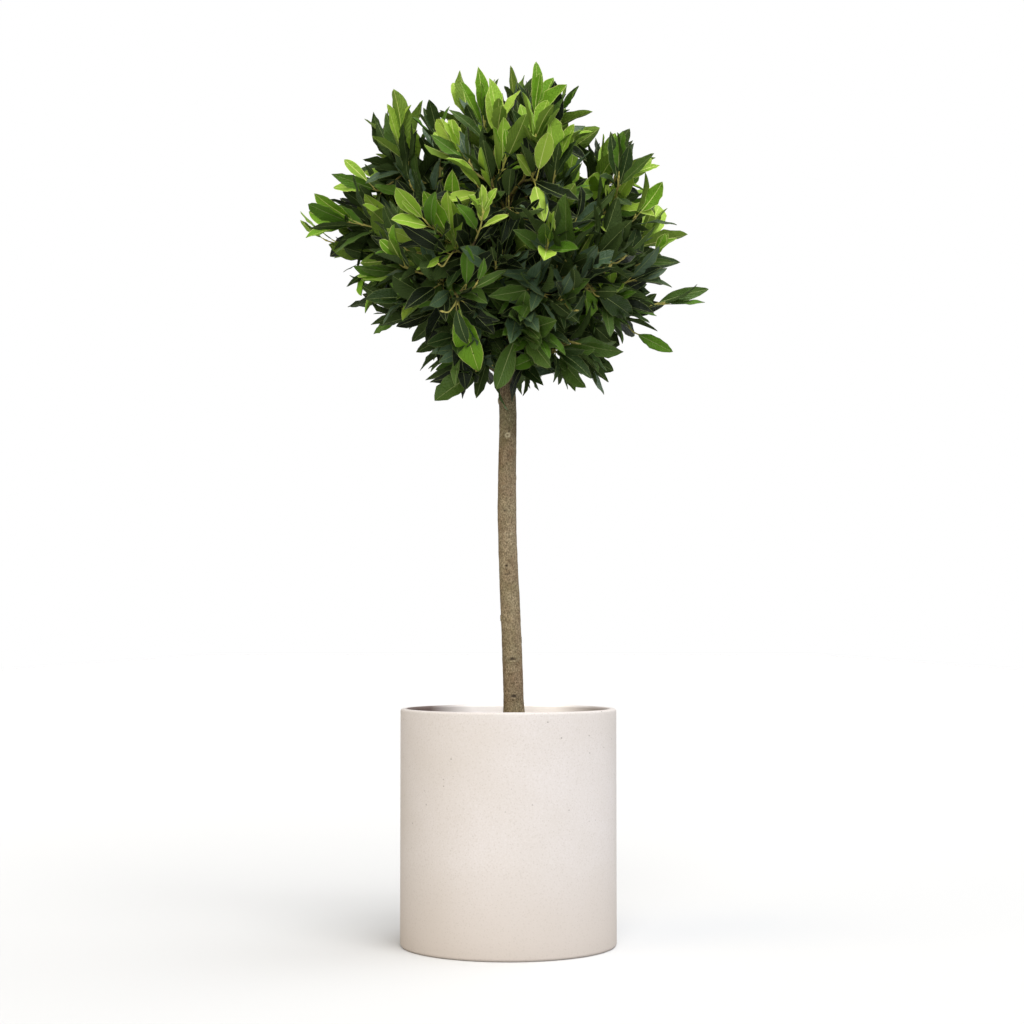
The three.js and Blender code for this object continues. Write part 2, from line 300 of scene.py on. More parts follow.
def cap_faces(first, columns, middle, up):
    """A fan of triangles from a ring of vertices to a middle one."""
    ring = first + np.arange(columns)
    after = first + (np.arange(columns) + 1) % columns
    if up:
        return np.stack([ring, after, np.full(columns, middle)], axis=-1)
    return np.stack([after, ring, np.full(columns, middle)], axis=-1)


def turned_piece_mesh(profile, sides):
    """Vertices and faces of a profile of radii and heights turned about Z, closed at both ends."""
    profile = np.asarray(profile, float)
    angles = np.arange(sides) * math.tau / sides
    ring = np.stack([np.cos(angles), np.sin(angles)], axis=-1)
    inner = profile[1:-1]
    rings = np.concatenate(
        [inner[:, None, :1] * ring[None], np.broadcast_to(inner[:, None, 1:], (len(inner), sides, 1))],
        axis=-1,
    )
    vertices = np.concatenate(
        [rings.reshape(-1, 3), [[0, 0, profile[0, 1]], [0, 0, profile[-1, 1]]]]
    )
    last = (len(inner) - 1) * sides
    faces = [
        grid_faces(len(inner), sides),
        np.concatenate([
            cap_faces(0, sides, len(inner) * sides, up=False),
            cap_faces(last, sides, len(inner) * sides + 1, up=True),
        ]),
    ]
    return vertices, faces


def sweep(centres, radii, sides, first_side=(1.0, 0.0, 0.0)):
    """The rings of a limb round a path: radii is one number for each ring, or one for each vertex."""
    side, other = side_vectors(centres, first_side)
    angles = np.arange(sides) * math.tau / sides
    radii = np.asarray(radii, float)
    if radii.ndim == 1:
        radii = radii[:, None]
    outward = side[:, None] * np.cos(angles)[None, :, None] + other[:, None] * np.sin(angles)[None, :, None]
    return centres[:, None] + outward * radii[..., None], outward


def limb_mesh(rings, first, last):
    """Vertices and faces of a limb's rings, closed by a point at each end."""
    rows, sides = rings.shape[:2]
    vertices = np.concatenate([rings.reshape(-1, 3), [first, last]])
    caps = np.concatenate([
        cap_faces(0, sides, rows * sides, up=False),
        cap_faces((rows - 1) * sides, sides, rows * sides + 1, up=True),
    ])
    return vertices, [grid_faces(rows, sides), caps]


# ------------------------------------------------------------------------------------------- materials

def colour(red, green, blue):
    """A colour chart's value, 0 to 255, as linear light."""
    def linear(value):
        """One channel as linear light."""
        share = value / 255
        return share / 12.92 if share <= 0.04045 else ((share + 0.055) / 1.055) ** 2.4
    return (linear(red), linear(green), linear(blue), 1.0)


class Recipe:
    """A node tree being written: nodes are placed by kind and joined by name."""

    def __init__(self, tree):
        self.tree = tree

    def node(self, kind, values=None, **settings):
        """A new node, its inputs joined to sockets or set to values."""
        made = self.tree.nodes.new(kind)
        for key, value in settings.items():
            setattr(made, key, value)
        for key, value in (values or {}).items():
            if isinstance(value, bpy.types.NodeSocket):
                self.tree.links.new(value, made.inputs[key])
            else:
                made.inputs[key].default_value = value
        return made

    def maths(self, operation, first, second=0.0, third=0.0):
        """A sum worked out on values or sockets."""
        values = {0: first, 1: second, 2: third}
        return self.node("ShaderNodeMath", values, operation=operation).outputs[0]

    def blend(self, share, first, second, blend_type="MIX"):
        """The first colour, turned into the second by the share."""
        made = self.node("ShaderNodeMix", data_type="RGBA", blend_type=blend_type)
        for socket, value in ((made.inputs[0], share), (made.inputs[6], first), (made.inputs[7], second)):
            if isinstance(value, bpy.types.NodeSocket):
                self.tree.links.new(value, socket)
            else:
                socket.default_value = value
        return made.outputs[2]

    def tinge(self, tone, mask, strength, other):
        """The tone, turned towards another where the mask says, by at most the strength."""
        return self.blend(self.maths("MULTIPLY", mask, strength), tone, other)

    def span(self, value, low, high, to_low=0.0, to_high=1.0):
        """A value carried from one range to another and held within it."""
        values = {"Value": value, 1: low, 2: high, 3: to_low, 4: to_high}
        return self.node("ShaderNodeMapRange", values, clamp=True).outputs[0]


NUMBER = "NodeSocketFloat"


def effect_group(name, output, write, **inputs):
    """A shader node group with named numbers in and one named value out, written by a function."""
    tree = bpy.data.node_groups.new(name, "ShaderNodeTree")
    for label, value in inputs.items():
        socket = tree.interface.new_socket(label, in_out="INPUT", socket_type=NUMBER)
        socket.default_value = value
    tree.interface.new_socket(output, in_out="OUTPUT", socket_type=NUMBER)
    recipe = Recipe(tree)
    given = recipe.node("NodeGroupInput")
    result = recipe.node("NodeGroupOutput")
    tree.links.new(write(recipe, given.outputs), result.inputs[output])
    return tree


def write_mottle(recipe, given):
    """Soft patches of tone at the given size in metres."""
    place = recipe.node("ShaderNodeTexCoord").outputs["Object"]
    scale = recipe.maths("DIVIDE", 1.0, given["Size"])
    stretched = recipe.node("ShaderNodeMapping", {"Vector": place})
    squeeze = recipe.node("ShaderNodeCombineXYZ", {"X": 1.0, "Y": 1.0, "Z": given["Lengthwise"]})
    recipe.tree.links.new(squeeze.outputs[0], stretched.inputs["Scale"])
    cloud = recipe.node("ShaderNodeTexNoise", {
        "Vector": stretched.outputs[0], "Scale": scale, "Detail": given["Detail"], "Roughness": 0.6,
    })
    low = recipe.maths("SUBTRACT", 0.5, given["Softness"])
    high = recipe.maths("ADD", 0.5, given["Softness"])
    return recipe.span(cloud.outputs[0], low, high)


def write_specks(recipe, given):
    """Scattered round specks of the given spacing and radius, in metres."""
    place = recipe.node("ShaderNodeTexCoord").outputs["Object"]
    scale = recipe.maths("DIVIDE", 1.0, given["Spacing"])
    cells = recipe.node("ShaderNodeTexVoronoi", {"Vector": place, "Scale": scale})
    reach = recipe.maths("DIVIDE", given["Radius"], given["Spacing"])
    outer = recipe.maths("MULTIPLY", reach, 1.25)
    inner = recipe.maths("MULTIPLY", reach, 0.6)
    return recipe.span(cells.outputs["Distance"], outer, inner)


def write_veins(recipe, given):
    """Side veins that run from the midrib forward to the margin of a leaf, on its own map."""
    place = recipe.node("ShaderNodeUVMap", uv_map="blade").outputs[0]
    split = recipe.node("ShaderNodeSeparateXYZ", {"Vector": place}).outputs
    aside = recipe.maths("ABSOLUTE", recipe.maths("SUBTRACT", split[0], 0.5))
    along = recipe.maths("MULTIPLY", split[1], given["Count"])
    slanted = recipe.maths("MULTIPLY_ADD", aside, given["Slant"], recipe.maths("MULTIPLY", along, -1.0))
    fold = recipe.maths("PINGPONG", slanted, 0.5)
    return recipe.span(fold, 0.16, 0.0)


MOTTLE = effect_group("mottle", "Value", write_mottle, Size=0.05, Detail=3.0, Softness=0.25, Lengthwise=1.0)
SPECKS = effect_group("specks", "Mask", write_specks, Spacing=0.02, Radius=0.001)
VEINS = effect_group("veins", "Height", write_veins, Count=9.0, Slant=3.2)


def surface(name, **plain):
    """A new material with its shader, and the recipe to write the rest of it."""
    material = bpy.data.materials.new(name)
    material.use_nodes = True
    recipe = Recipe(material.node_tree)
    shader = material.node_tree.nodes["Principled BSDF"]
    for key, value in plain.items():
        shader.inputs[key.replace("_", " ")].default_value = value
    return material, recipe, shader


def effect(recipe, group, output, **values):
    """One output of an effect group placed in a material with its own values."""
    made = recipe.node("ShaderNodeGroup", node_tree=group)
    for key, value in values.items():
        made.inputs[key].default_value = value
    return made.outputs[output]


def join(recipe, value, socket):
    """Feeds a value into a shader's socket."""
    recipe.tree.links.new(value, socket)


def raised(recipe, shader, height, distance, strength=1.0):
    """Sets the shader's normal from a height of the given distance."""
    bump = recipe.node("ShaderNodeBump", {"Height": height, "Distance": distance, "Strength": strength})
    join(recipe, bump.outputs[0], shader.inputs["Normal"])


def cast_stone():
    """Matt warm white stone with a sandy grain and a few pinholes, painted shade at its foot and inner
    sides, and painted light inside.
    """
    material, recipe, shader = surface("cast_stone", Specular_IOR_Level=0.3)
    patches = effect(recipe, MOTTLE, "Value", Size=0.16, Detail=2.0, Softness=0.2)
    grain = effect(recipe, MOTTLE, "Value", Size=0.0026, Detail=2.0, Softness=0.25)
    sand = effect(recipe, SPECKS, "Mask", Spacing=0.0046, Radius=0.0012)
    holes = effect(recipe, SPECKS, "Mask", Spacing=0.021, Radius=0.0014)
    place = recipe.node("ShaderNodeTexCoord").outputs["Object"]
    aside, back, height = recipe.node("ShaderNodeSeparateXYZ", {"Vector": place}).outputs
    foot, lip = (float(corner.z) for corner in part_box("planter"))
    outside = float(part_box("planter")[1].x)
    # Painted shade: the stone turns darker and warmer towards the foot.
    foot_shade = recipe.span(height, foot + 0.4 * (lip - foot), foot)
    tone = recipe.blend(patches, colour(207, 202, 201), colour(200, 194, 190))
    tone = recipe.tinge(tone, foot_shade, 0.85, colour(184, 174, 165))
    tone = recipe.tinge(tone, grain, 0.55, colour(188, 180, 173))
    tone = recipe.tinge(tone, sand, 0.26, colour(166, 157, 148))
    high_up = recipe.span(height, foot + 0.35 * (lip - foot), foot + 0.5 * (lip - foot))
    holes = recipe.maths("MULTIPLY", holes, high_up)
    tone = recipe.tinge(tone, holes, 0.5, colour(96, 90, 86))
    squares = recipe.maths("ADD", recipe.maths("POWER", aside, 2.0), recipe.maths("POWER", back, 2.0))
    from_axis = recipe.maths("SQRT", squares)
    # Painted light: the inside of the planter is made much paler than its outer wall.
    inside = recipe.span(from_axis, outside - 0.4 * WALL, outside - 0.8 * WALL)
    tone = recipe.blend(inside, tone, colour(248, 243, 240))
    # Painted shade: the inner wall darkens towards its left and right sides, most on the left.
    inner_shade_left = recipe.span(aside, -0.35 * outside, -0.75 * outside, 0.0, 1.0)
    inner_shade_right = recipe.span(aside, 0.45 * outside, 0.8 * outside, 0.0, 0.65)
    inner_shade = recipe.maths("MULTIPLY", inside, recipe.maths("MAXIMUM", inner_shade_left, inner_shade_right))
    tone = recipe.blend(inner_shade, tone, colour(104, 89, 84))
    join(recipe, tone, shader.inputs["Base Color"])
    join(recipe, recipe.span(grain, 0.0, 1.0, 0.78, 0.9), shader.inputs["Roughness"])
    hollow = recipe.maths("MULTIPLY_ADD", holes, -3.0, grain)
    raised(recipe, shader, hollow, 0.00012, 0.7)
    return material


def compost_mix():
    """Dark damp potting compost."""
    material, recipe, shader = surface("compost_mix", Specular_IOR_Level=0.25)
    clods = effect(recipe, MOTTLE, "Value", Size=0.012, Detail=5.0, Softness=0.2)
    crumbs = effect(recipe, SPECKS, "Mask", Spacing=0.007, Radius=0.0016)
    tone = recipe.blend(clods, colour(44, 33, 25), colour(74, 57, 43))
    tone = recipe.tinge(tone, crumbs, 0.6, colour(112, 92, 70))
    join(recipe, tone, shader.inputs["Base Color"])
    join(recipe, recipe.span(clods, 0.0, 1.0, 0.85, 0.97), shader.inputs["Roughness"])
    raised(recipe, shader, clods, 0.0015, 0.8)
    return material


def chip_bark(name, dark, light):
    """A dry chip of composted bark."""
    material, recipe, shader = surface(name, Specular_IOR_Level=0.25, Roughness=0.9)
    fibre = effect(recipe, MOTTLE, "Value", Size=0.004, Detail=3.0, Softness=0.25)
    join(recipe, recipe.blend(fibre, dark, light), shader.inputs["Base Color"])
    raised(recipe, shader, fibre, 0.0006, 0.7)
    return material


def bay_bark(name, low, middle, high, speck):
    """Smooth bay bark: mottled, dotted with lenticels, and darker and greener towards the head."""
    material, recipe, shader = surface(name, Specular_IOR_Level=0.3)
    place = recipe.node("ShaderNodeTexCoord").outputs["Object"]
    height = recipe.node("ShaderNodeSeparateXYZ", {"Vector": place}).outputs[2]
    foot, fork = (float(corner.z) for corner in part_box("trunk"))
    mottle = effect(recipe, MOTTLE, "Value", Size=0.012, Detail=4.0, Softness=0.14, Lengthwise=0.8)
    clouds = effect(recipe, MOTTLE, "Value", Size=0.06, Detail=2.0, Softness=0.12, Lengthwise=0.6)
    rust = effect(recipe, MOTTLE, "Value", Size=0.045, Detail=3.0, Softness=0.14, Lengthwise=0.9)
    grain = effect(recipe, MOTTLE, "Value", Size=0.0021, Detail=3.0, Softness=0.16, Lengthwise=0.7)
    lenticels = effect(recipe, SPECKS, "Mask", Spacing=0.0062, Radius=0.001)
    marks = recipe.node("ShaderNodeAttribute", attribute_name="mark").outputs["Fac"]
    lower = recipe.span(height, foot, foot + 0.3 * (fork - foot))
    upper = recipe.span(height, foot + 0.55 * (fork - foot), foot + 0.93 * (fork - foot))
    tone = recipe.blend(lower, low, middle)
    tone = recipe.blend(upper, tone, high)
    tone = recipe.tinge(tone, clouds, 0.7, colour(106, 106, 64))
    tone = recipe.tinge(tone, rust, 0.6, colour(136, 104, 82))
    tone = recipe.tinge(tone, mottle, 0.5, speck)
    dark = recipe.blend(1.0, tone, colour(104, 95, 82), "MULTIPLY")
    tone = recipe.tinge(tone, grain, 0.82, dark)
    tone = recipe.tinge(tone, lenticels, 0.5, colour(168, 153, 125))
    tone = recipe.blend(recipe.span(marks, 0.0, 1.0), tone, colour(196, 188, 158))
    tone = recipe.blend(recipe.span(marks, 0.0, -1.0), tone, colour(52, 42, 30))
    join(recipe, tone, shader.inputs["Base Color"])
    join(recipe, recipe.span(grain, 0.0, 1.0, 0.68, 0.88), shader.inputs["Roughness"])
    coarse = recipe.maths("MULTIPLY_ADD", lenticels, 0.5, recipe.maths("MULTIPLY", grain, -0.8))
    raised(recipe, shader, recipe.maths("MULTIPLY_ADD", mottle, 0.5, coarse), 0.0005, 0.8)
    return material


def stem_skin(name, light, dark, gloss):
    """The skin of a twig, a shoot, a leaf stalk or a bud."""
    material, recipe, shader = surface(name, Base_Color=light, Specular_IOR_Level=0.35)
    grain = effect(recipe, MOTTLE, "Value", Size=0.004, Detail=3.0, Softness=0.25, Lengthwise=0.4)
    if dark is not None:
        join(recipe, recipe.blend(grain, light, dark), shader.inputs["Base Color"])
    join(recipe, recipe.span(grain, 0.0, 1.0, gloss, gloss + 0.15), shader.inputs["Roughness"])
    raised(recipe, shader, grain, 0.0002, 0.5)
    return material


def blade(name, tone, gloss, veins, shine):
    """One face of a leaf: a plain tint, with veins that stand up or lie sunk, and an uneven shine."""
    material, recipe, shader = surface(name, Base_Color=tone, Specular_IOR_Level=shine)
    blush = effect(recipe, MOTTLE, "Value", Size=0.012, Detail=2.0, Softness=0.25)
    quilting = effect(recipe, MOTTLE, "Value", Size=0.0034, Detail=1.0, Softness=0.3)
    join(recipe, recipe.span(blush, 0.0, 1.0, gloss, gloss + 0.16), shader.inputs["Roughness"])
    ribs = effect(recipe, VEINS, "Height", Count=10.0, Slant=7.0)
    swell = recipe.maths("MULTIPLY_ADD", ribs, veins, blush)
    raised(recipe, shader, recipe.maths("ADD", quilting, swell), 0.0008)
    return material


# -------------------------------------------------------------------------------- planter and compost

def arc(centre_radius, centre_height, radius, from_degrees, to_degrees, steps):
    """Points of a quarter round in the profile of a turned piece."""
    angles = np.radians(np.linspace(from_degrees, to_degrees, steps))
    return [
        (centre_radius + radius * math.cos(angle), centre_height + radius * math.sin(angle))
        for angle in angles
    ]


def make_planter():
    """The straight round planter, its lip and foot softly rounded, one closed piece."""
    low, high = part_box("planter")
    outside = (high.x - low.x) / 2
    inside = outside - WALL
    top = high.z
    profile = [(0, low.z), (outside * 0.5, low.z)]
    profile += arc(outside - FOOT_RADIUS, low.z + FOOT_RADIUS, FOOT_RADIUS, -90, 0, 8)
    profile += [(outside, h) for h in np.linspace(low.z, top, OUTER_ROWS)[2:-1]]
    profile += arc(outside - LIP_RADIUS, top - LIP_RADIUS, LIP_RADIUS, 0, 90, 9)
    profile += arc(inside + LIP_RADIUS, top - LIP_RADIUS, LIP_RADIUS, 90, 180, 9)
    profile += [(inside, h) for h in np.linspace(top, low.z + BASE, INNER_ROWS)[2:-1]]
    profile += arc(inside - INNER_CORNER, low.z + BASE + INNER_CORNER, INNER_CORNER, 0, -90, 6)
    profile += [(inside * 0.5, low.z + BASE), (0, low.z + BASE)]
    vertices, faces = turned_piece_mesh(profile, PLANTER_SIDES)
    stock = Stock()
    stock.add(vertices, faces)
    made = stock.piece("planter_shell", [cast_stone()])
    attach(made, BODY)
    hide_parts("planter")


def lump(rng, size, flatness):
    """An uneven chip of about the given size, lying at a random turn."""
    phi = (1 + math.sqrt(5)) / 2
    corners = np.array([
        (-1, phi, 0), (1, phi, 0), (-1, -phi, 0), (1, -phi, 0), (0, -1, phi), (0, 1, phi),
        (0, -1, -phi), (0, 1, -phi), (phi, 0, -1), (phi, 0, 1), (-phi, 0, -1), (-phi, 0, 1),
    ]) / 1.9
    faces = np.array([
        (0, 11, 5), (0, 5, 1), (0, 1, 7), (0, 7, 10), (0, 10, 11), (1, 5, 9), (5, 11, 4), (11, 10, 2),
        (10, 7, 6), (7, 1, 8), (3, 9, 4), (3, 4, 2), (3, 2, 6), (3, 6, 8), (3, 8, 9), (4, 9, 5),
        (2, 4, 11), (6, 2, 10), (8, 6, 7), (9, 8, 1),
    ])
    corners = corners * rng.uniform(0.7, 1.2, (12, 1)) * size * np.array([1.0, 0.55, flatness])
    turn = rng.uniform(0, math.tau)
    tip = rng.normal(0, 0.3)
    level = np.array([[math.cos(turn), -math.sin(turn), 0], [math.sin(turn), math.cos(turn), 0], [0, 0, 1]])
    slope = np.array([[math.cos(tip), 0, -math.sin(tip)], [0, 1, 0], [math.sin(tip), 0, math.cos(tip)]])
    return corners @ slope.T @ level.T, faces


def make_compost():
    """The crumbly compost, crowned in the middle, with bark chips strewn over it."""
    low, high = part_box("compost")
    radius = (high.x - low.x) / 2
    rng = np.random.default_rng(FIRST_SEED)
    crown = [(radius * share, high.z) for share in np.linspace(0, 1, COMPOST_RINGS)]
    profile = [(r, h - CROWN_FALL * (r / radius) ** 4 - CRUMB_ROOM) for r, h in crown][::-1]
    profile = [(0, low.z), (radius - INNER_CORNER, low.z), (radius, low.z + INNER_CORNER)] + profile
    vertices, faces = turned_piece_mesh(profile, COMPOST_SIDES)
    reach = np.hypot(vertices[:, 0], vertices[:, 1])
    free = (vertices[:, 2] > high.z - 2 * CROWN_FALL) & (reach < radius - 1 * MM)
    heave = relief(vertices, 26 * MM) * 1.3 * MM + relief(vertices, 7 * MM, seed=4.0) * 0.9 * MM
    vertices[:, 2] += np.where(free, heave, 0)
    stock = Stock()
    stock.add(vertices, faces)
    for _ in range(CHIPS):
        span = math.sqrt(rng.uniform(ROOM_FOR_TRUNK**2, (radius - ROOM_AT_WALL) ** 2))
        turn = rng.uniform(0, math.tau)
        chip, sides = lump(rng, rng.uniform(*CHIP_SIZES) * MM, rng.uniform(*CHIP_FLATNESS))
        drop = CROWN_FALL * (span / radius) ** 4
        chip = chip + np.array([span * math.cos(turn), span * math.sin(turn), high.z - drop - 0.4 * MM])
        stock.add(chip, [sides], slot=int(rng.integers(1, 4)))
    skins = [
        compost_mix(),
        chip_bark("chip_brown", colour(70, 46, 30), colour(108, 76, 50)),
        chip_bark("chip_tan", colour(104, 76, 50), colour(146, 114, 80)),
        chip_bark("chip_dark", colour(40, 28, 20), colour(66, 48, 34)),
    ]
    made = stock.piece("compost_top", skins)
    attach(made, BODY)
    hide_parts("compost")


# ------------------------------------------------------------------------------------ trunk and boughs

def node_points(name):
    """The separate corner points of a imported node."""
    points = np.array([v.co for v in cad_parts[name].data.vertices], float)
    return np.unique(np.round(points, 6), axis=0)


def trunk_line():
    """Heights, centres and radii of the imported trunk's rings, from its foot up."""
    points = node_points("trunk")
    points = points[np.argsort(points[:, 2])]
    rings = np.split(points, np.flatnonzero(np.diff(points[:, 2]) > RING_APART) + 1)
    centres = np.array([(ring.min(0) + ring.max(0)) / 2 for ring in rings])
    reach = [np.linalg.norm(ring - centre, axis=1).max() for ring, centre in zip(rings, centres)]
    heights = np.array([ring[:, 2].mean() for ring in rings])
    heights[0] = points[0, 2]
    heights[-1] = points[-1, 2]
    return heights, centres, np.array(reach)


TRUNK_HEIGHTS, TRUNK_CENTRES, TRUNK_REACH = trunk_line()

# Marks on the stem: share of its height, degrees round from the front, half height and half width in mm,
# how far the rim stands up and how deep the middle lies in mm, and how pale or dark the rim and middle are.
STEM_MARKS = [
    (0.735, -2, 2.8, 3.2, 0.6, 0.7, 0.75, -0.6),
    (0.605, 4, 1.5, 8.0, 0.3, 0.5, 0.2, -1.0),
    (0.545, -12, 1.9, 6.0, 0.5, 1.0, 0.2, -1.6),
    (0.488, 6, 2.0, 5.5, 0.5, 0.9, 0.3, -1.0),
    (0.407, -14, 3.2, 3.8, 0.8, 2.2, 0.3, -1.6),
    (0.385, -10, 1.5, 9.0, 0.5, 0.7, 0.1, -0.9),
    (0.276, -86, 3.4, 3.4, 1.5, 0.4, 0.1, -0.4),
    (0.173, 2, 3.2, 9.0, 1.0, 1.1, 0.25, -1.9),
    (0.080, 4, 2.7, 8.5, 0.7, 1.2, 0.1, -1.9),
    (0.825, -84, 3.6, 3.0, 1.6, 0.2, 0.5, -0.2),
    (0.63, 118, 4.2, 5.0, 0.9, 0.9, 0.6, -0.6),
    (0.34, 165, 2.0, 9.0, 0.6, 0.8, 0.3, -0.7),
    (0.22, 100, 3.2, 4.4, 0.8, 1.2, 0.3, -0.8),
    (0.52, -140, 3.4, 4.2, 0.9, 1.0, 0.5, -0.7),
    (0.86, 170, 2.0, 8.0, 0.7, 0.7, 0.4, -0.6),
]


def bark_relief(points):
    """How far the bark stands off the limb at each point."""
    flat = points.reshape(-1, 3)
    lumps = relief(flat, 34 * MM, (1, 1, 0.6)) * 0.55 * MM
    knobs = relief(flat, 11 * MM, (1, 1, 0.8), seed=9.0) * 0.3 * MM
    grain = relief(flat, 4.2 * MM, (1, 1, 0.7), octaves=3, seed=21.0) * 0.2 * MM
    return (lumps + knobs + grain).reshape(points.shape[:2])


def make_trunk():
    """The clear stem with its bark, from the compost to the fork."""
    foot, fork = TRUNK_HEIGHTS[0], TRUNK_HEIGHTS[-1]
    rows = int((fork - foot) / TRUNK_STEP)
    heights = np.linspace(foot, fork, rows)
    centres = smooth_between(TRUNK_HEIGHTS, TRUNK_CENTRES, heights)
    centres[:, 2] = heights
    radii = smooth_between(TRUNK_HEIGHTS, TRUNK_REACH, heights)
    rings, outward = sweep(centres, radii, TRUNK_SIDES)
    angles = np.degrees(np.arange(TRUNK_SIDES) * math.tau / TRUNK_SIDES)
    lift = bark_relief(rings)
    marks = np.zeros_like(lift)
    share = (heights - foot) / (fork - foot)
    for at, turn, half_height, half_width, rim, hollow, rim_tone, middle_tone in STEM_MARKS:
        rise = (share - at)[:, None] * (fork - foot) / (half_height * MM)
        away = (angles - (270 + turn) + 180) % 360 - 180
        across = np.radians(away)[None, :] * radii[:, None] / (half_width * MM)
        wander = 0.22 * relief(rings.reshape(-1, 3), 5 * MM, seed=at * 90).reshape(lift.shape)
        reach = np.hypot(rise, across) + wander
        edge = bell(reach - 1, 0.42)
        middle = bell(reach, 0.62)
        lift += (edge * rim - middle * hollow) * MM
        marks += edge * rim_tone + middle * middle_tone
    rings = rings + outward * lift[..., None]
    rings[0, :, 2] = foot
    rings[1:, :, 2] = np.maximum(rings[1:, :, 2], foot)
    stock = Stock()
    vertices, faces = limb_mesh(rings, centres[0], centres[-1] + UP * 2 * MM)
    stock.add(vertices, faces, marks=np.concatenate([marks.ravel(), [0, 0]]))
    skin = bay_bark("bark_trunk", colour(132, 115, 90), colour(155, 141, 112),
                    colour(107, 101, 69), colour(168, 153, 124))
    made = stock.piece("trunk_bark", [skin], mark_name="mark")
    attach(made, BODY)
    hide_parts("trunk")


def bough_line(mass):
    """The centreline and radius of a packed bough, from inside the trunk to its end in the foliage."""
    points = node_points("bough_" + mass)
    axis = TRUNK_CENTRES[-3:].mean(0)
    by_distance = points[np.argsort(-np.linalg.norm(points - axis, axis=1))]
    far = by_distance[:END_CORNERS].mean(0)
    near = points[np.argsort(np.linalg.norm(points - axis, axis=1))[:END_CORNERS]].mean(0)
    seat_height = min(near[2], TRUNK_HEIGHTS[-1]) - SEAT_DEPTH
    seat = smooth_between(TRUNK_HEIGHTS, TRUNK_CENTRES, np.array([seat_height]))[0]
    chord = far - seat
    along = (points - seat) @ chord / (chord @ chord)
    clear = along > SEAT_SHARE
    share = np.concatenate([along[clear], np.zeros(SEAT_HOLD), np.ones(END_HOLD)])
    places = np.concatenate([
        points[clear], np.repeat([seat], SEAT_HOLD, axis=0), np.repeat([far], END_HOLD, axis=0),
    ])
    fit = np.linalg.lstsq(np.vander(share, 4, increasing=True), places, rcond=None)[0]
    steps = max(8, int(np.linalg.norm(chord) / BOUGH_STEP))
    at = np.linspace(0, 1, steps)
    line = np.vander(at, 4, increasing=True) @ fit
    spread = np.linalg.norm(points[clear][:, None] - line[None], axis=2).min(1)
    taper = np.polyfit(along[clear], spread, 1)
    radii = np.maximum(np.polyval(taper, at), LEAST_BOUGH)
    return line, radii


BOUGHS = {mass: bough_line(mass) for mass in MASSES}


def make_boughs():
    """Every bough with its bark, swollen to a collar where it leaves the fork."""
    stock = Stock()
    for mass, (line, radii) in BOUGHS.items():
        travelled = lengths_along(line)
        swollen = radii * (1 + (COLLAR - 1) * bell(travelled, COLLAR_LENGTH))
        rings, outward = sweep(line, swollen, BOUGH_SIDES)
        rings = rings + outward * (bark_relief(rings) * 0.9)[..., None]
        tip = line[-1] + headings_along(line)[-1] * radii[-1]
        vertices, faces = limb_mesh(rings, line[0], tip)
        stock.add(vertices, faces)
    skin = bay_bark("bark_boughs", colour(112, 100, 76), colour(112, 100, 76),
                    colour(98, 88, 60), colour(132, 118, 88))
    made = stock.piece("boughs_bark", [skin], mark_name="mark")
    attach(made, BODY)
    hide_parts(*["bough_" + mass for mass in BOUGHS])


# ---------------------------------------------------------------------------------- where sprays grow

# Leaf tints, from the newest growth to the oldest and most shaded.
TINTS = {
    "lime": colour(152, 183, 64),
    "spring": colour(137, 173, 54),
    "fresh": colour(106, 150, 32),
    "grass": colour(80, 118, 30),
    "bay": colour(71, 98, 36),
    "deep": colour(45, 66, 27),
    # A dark blue green leaf colour, lightened grey by a painted sheen.
    "blue_green_sheen": colour(67, 91, 62),
    # The oldest leaves' dark green, deepened to near black as painted shade for the inside of the head.
    "shade": colour(18, 30, 8),
}
LIME, SPRING, FRESH, GRASS, BAY, DEEP, BLUE_GREEN, SHADE = range(8)

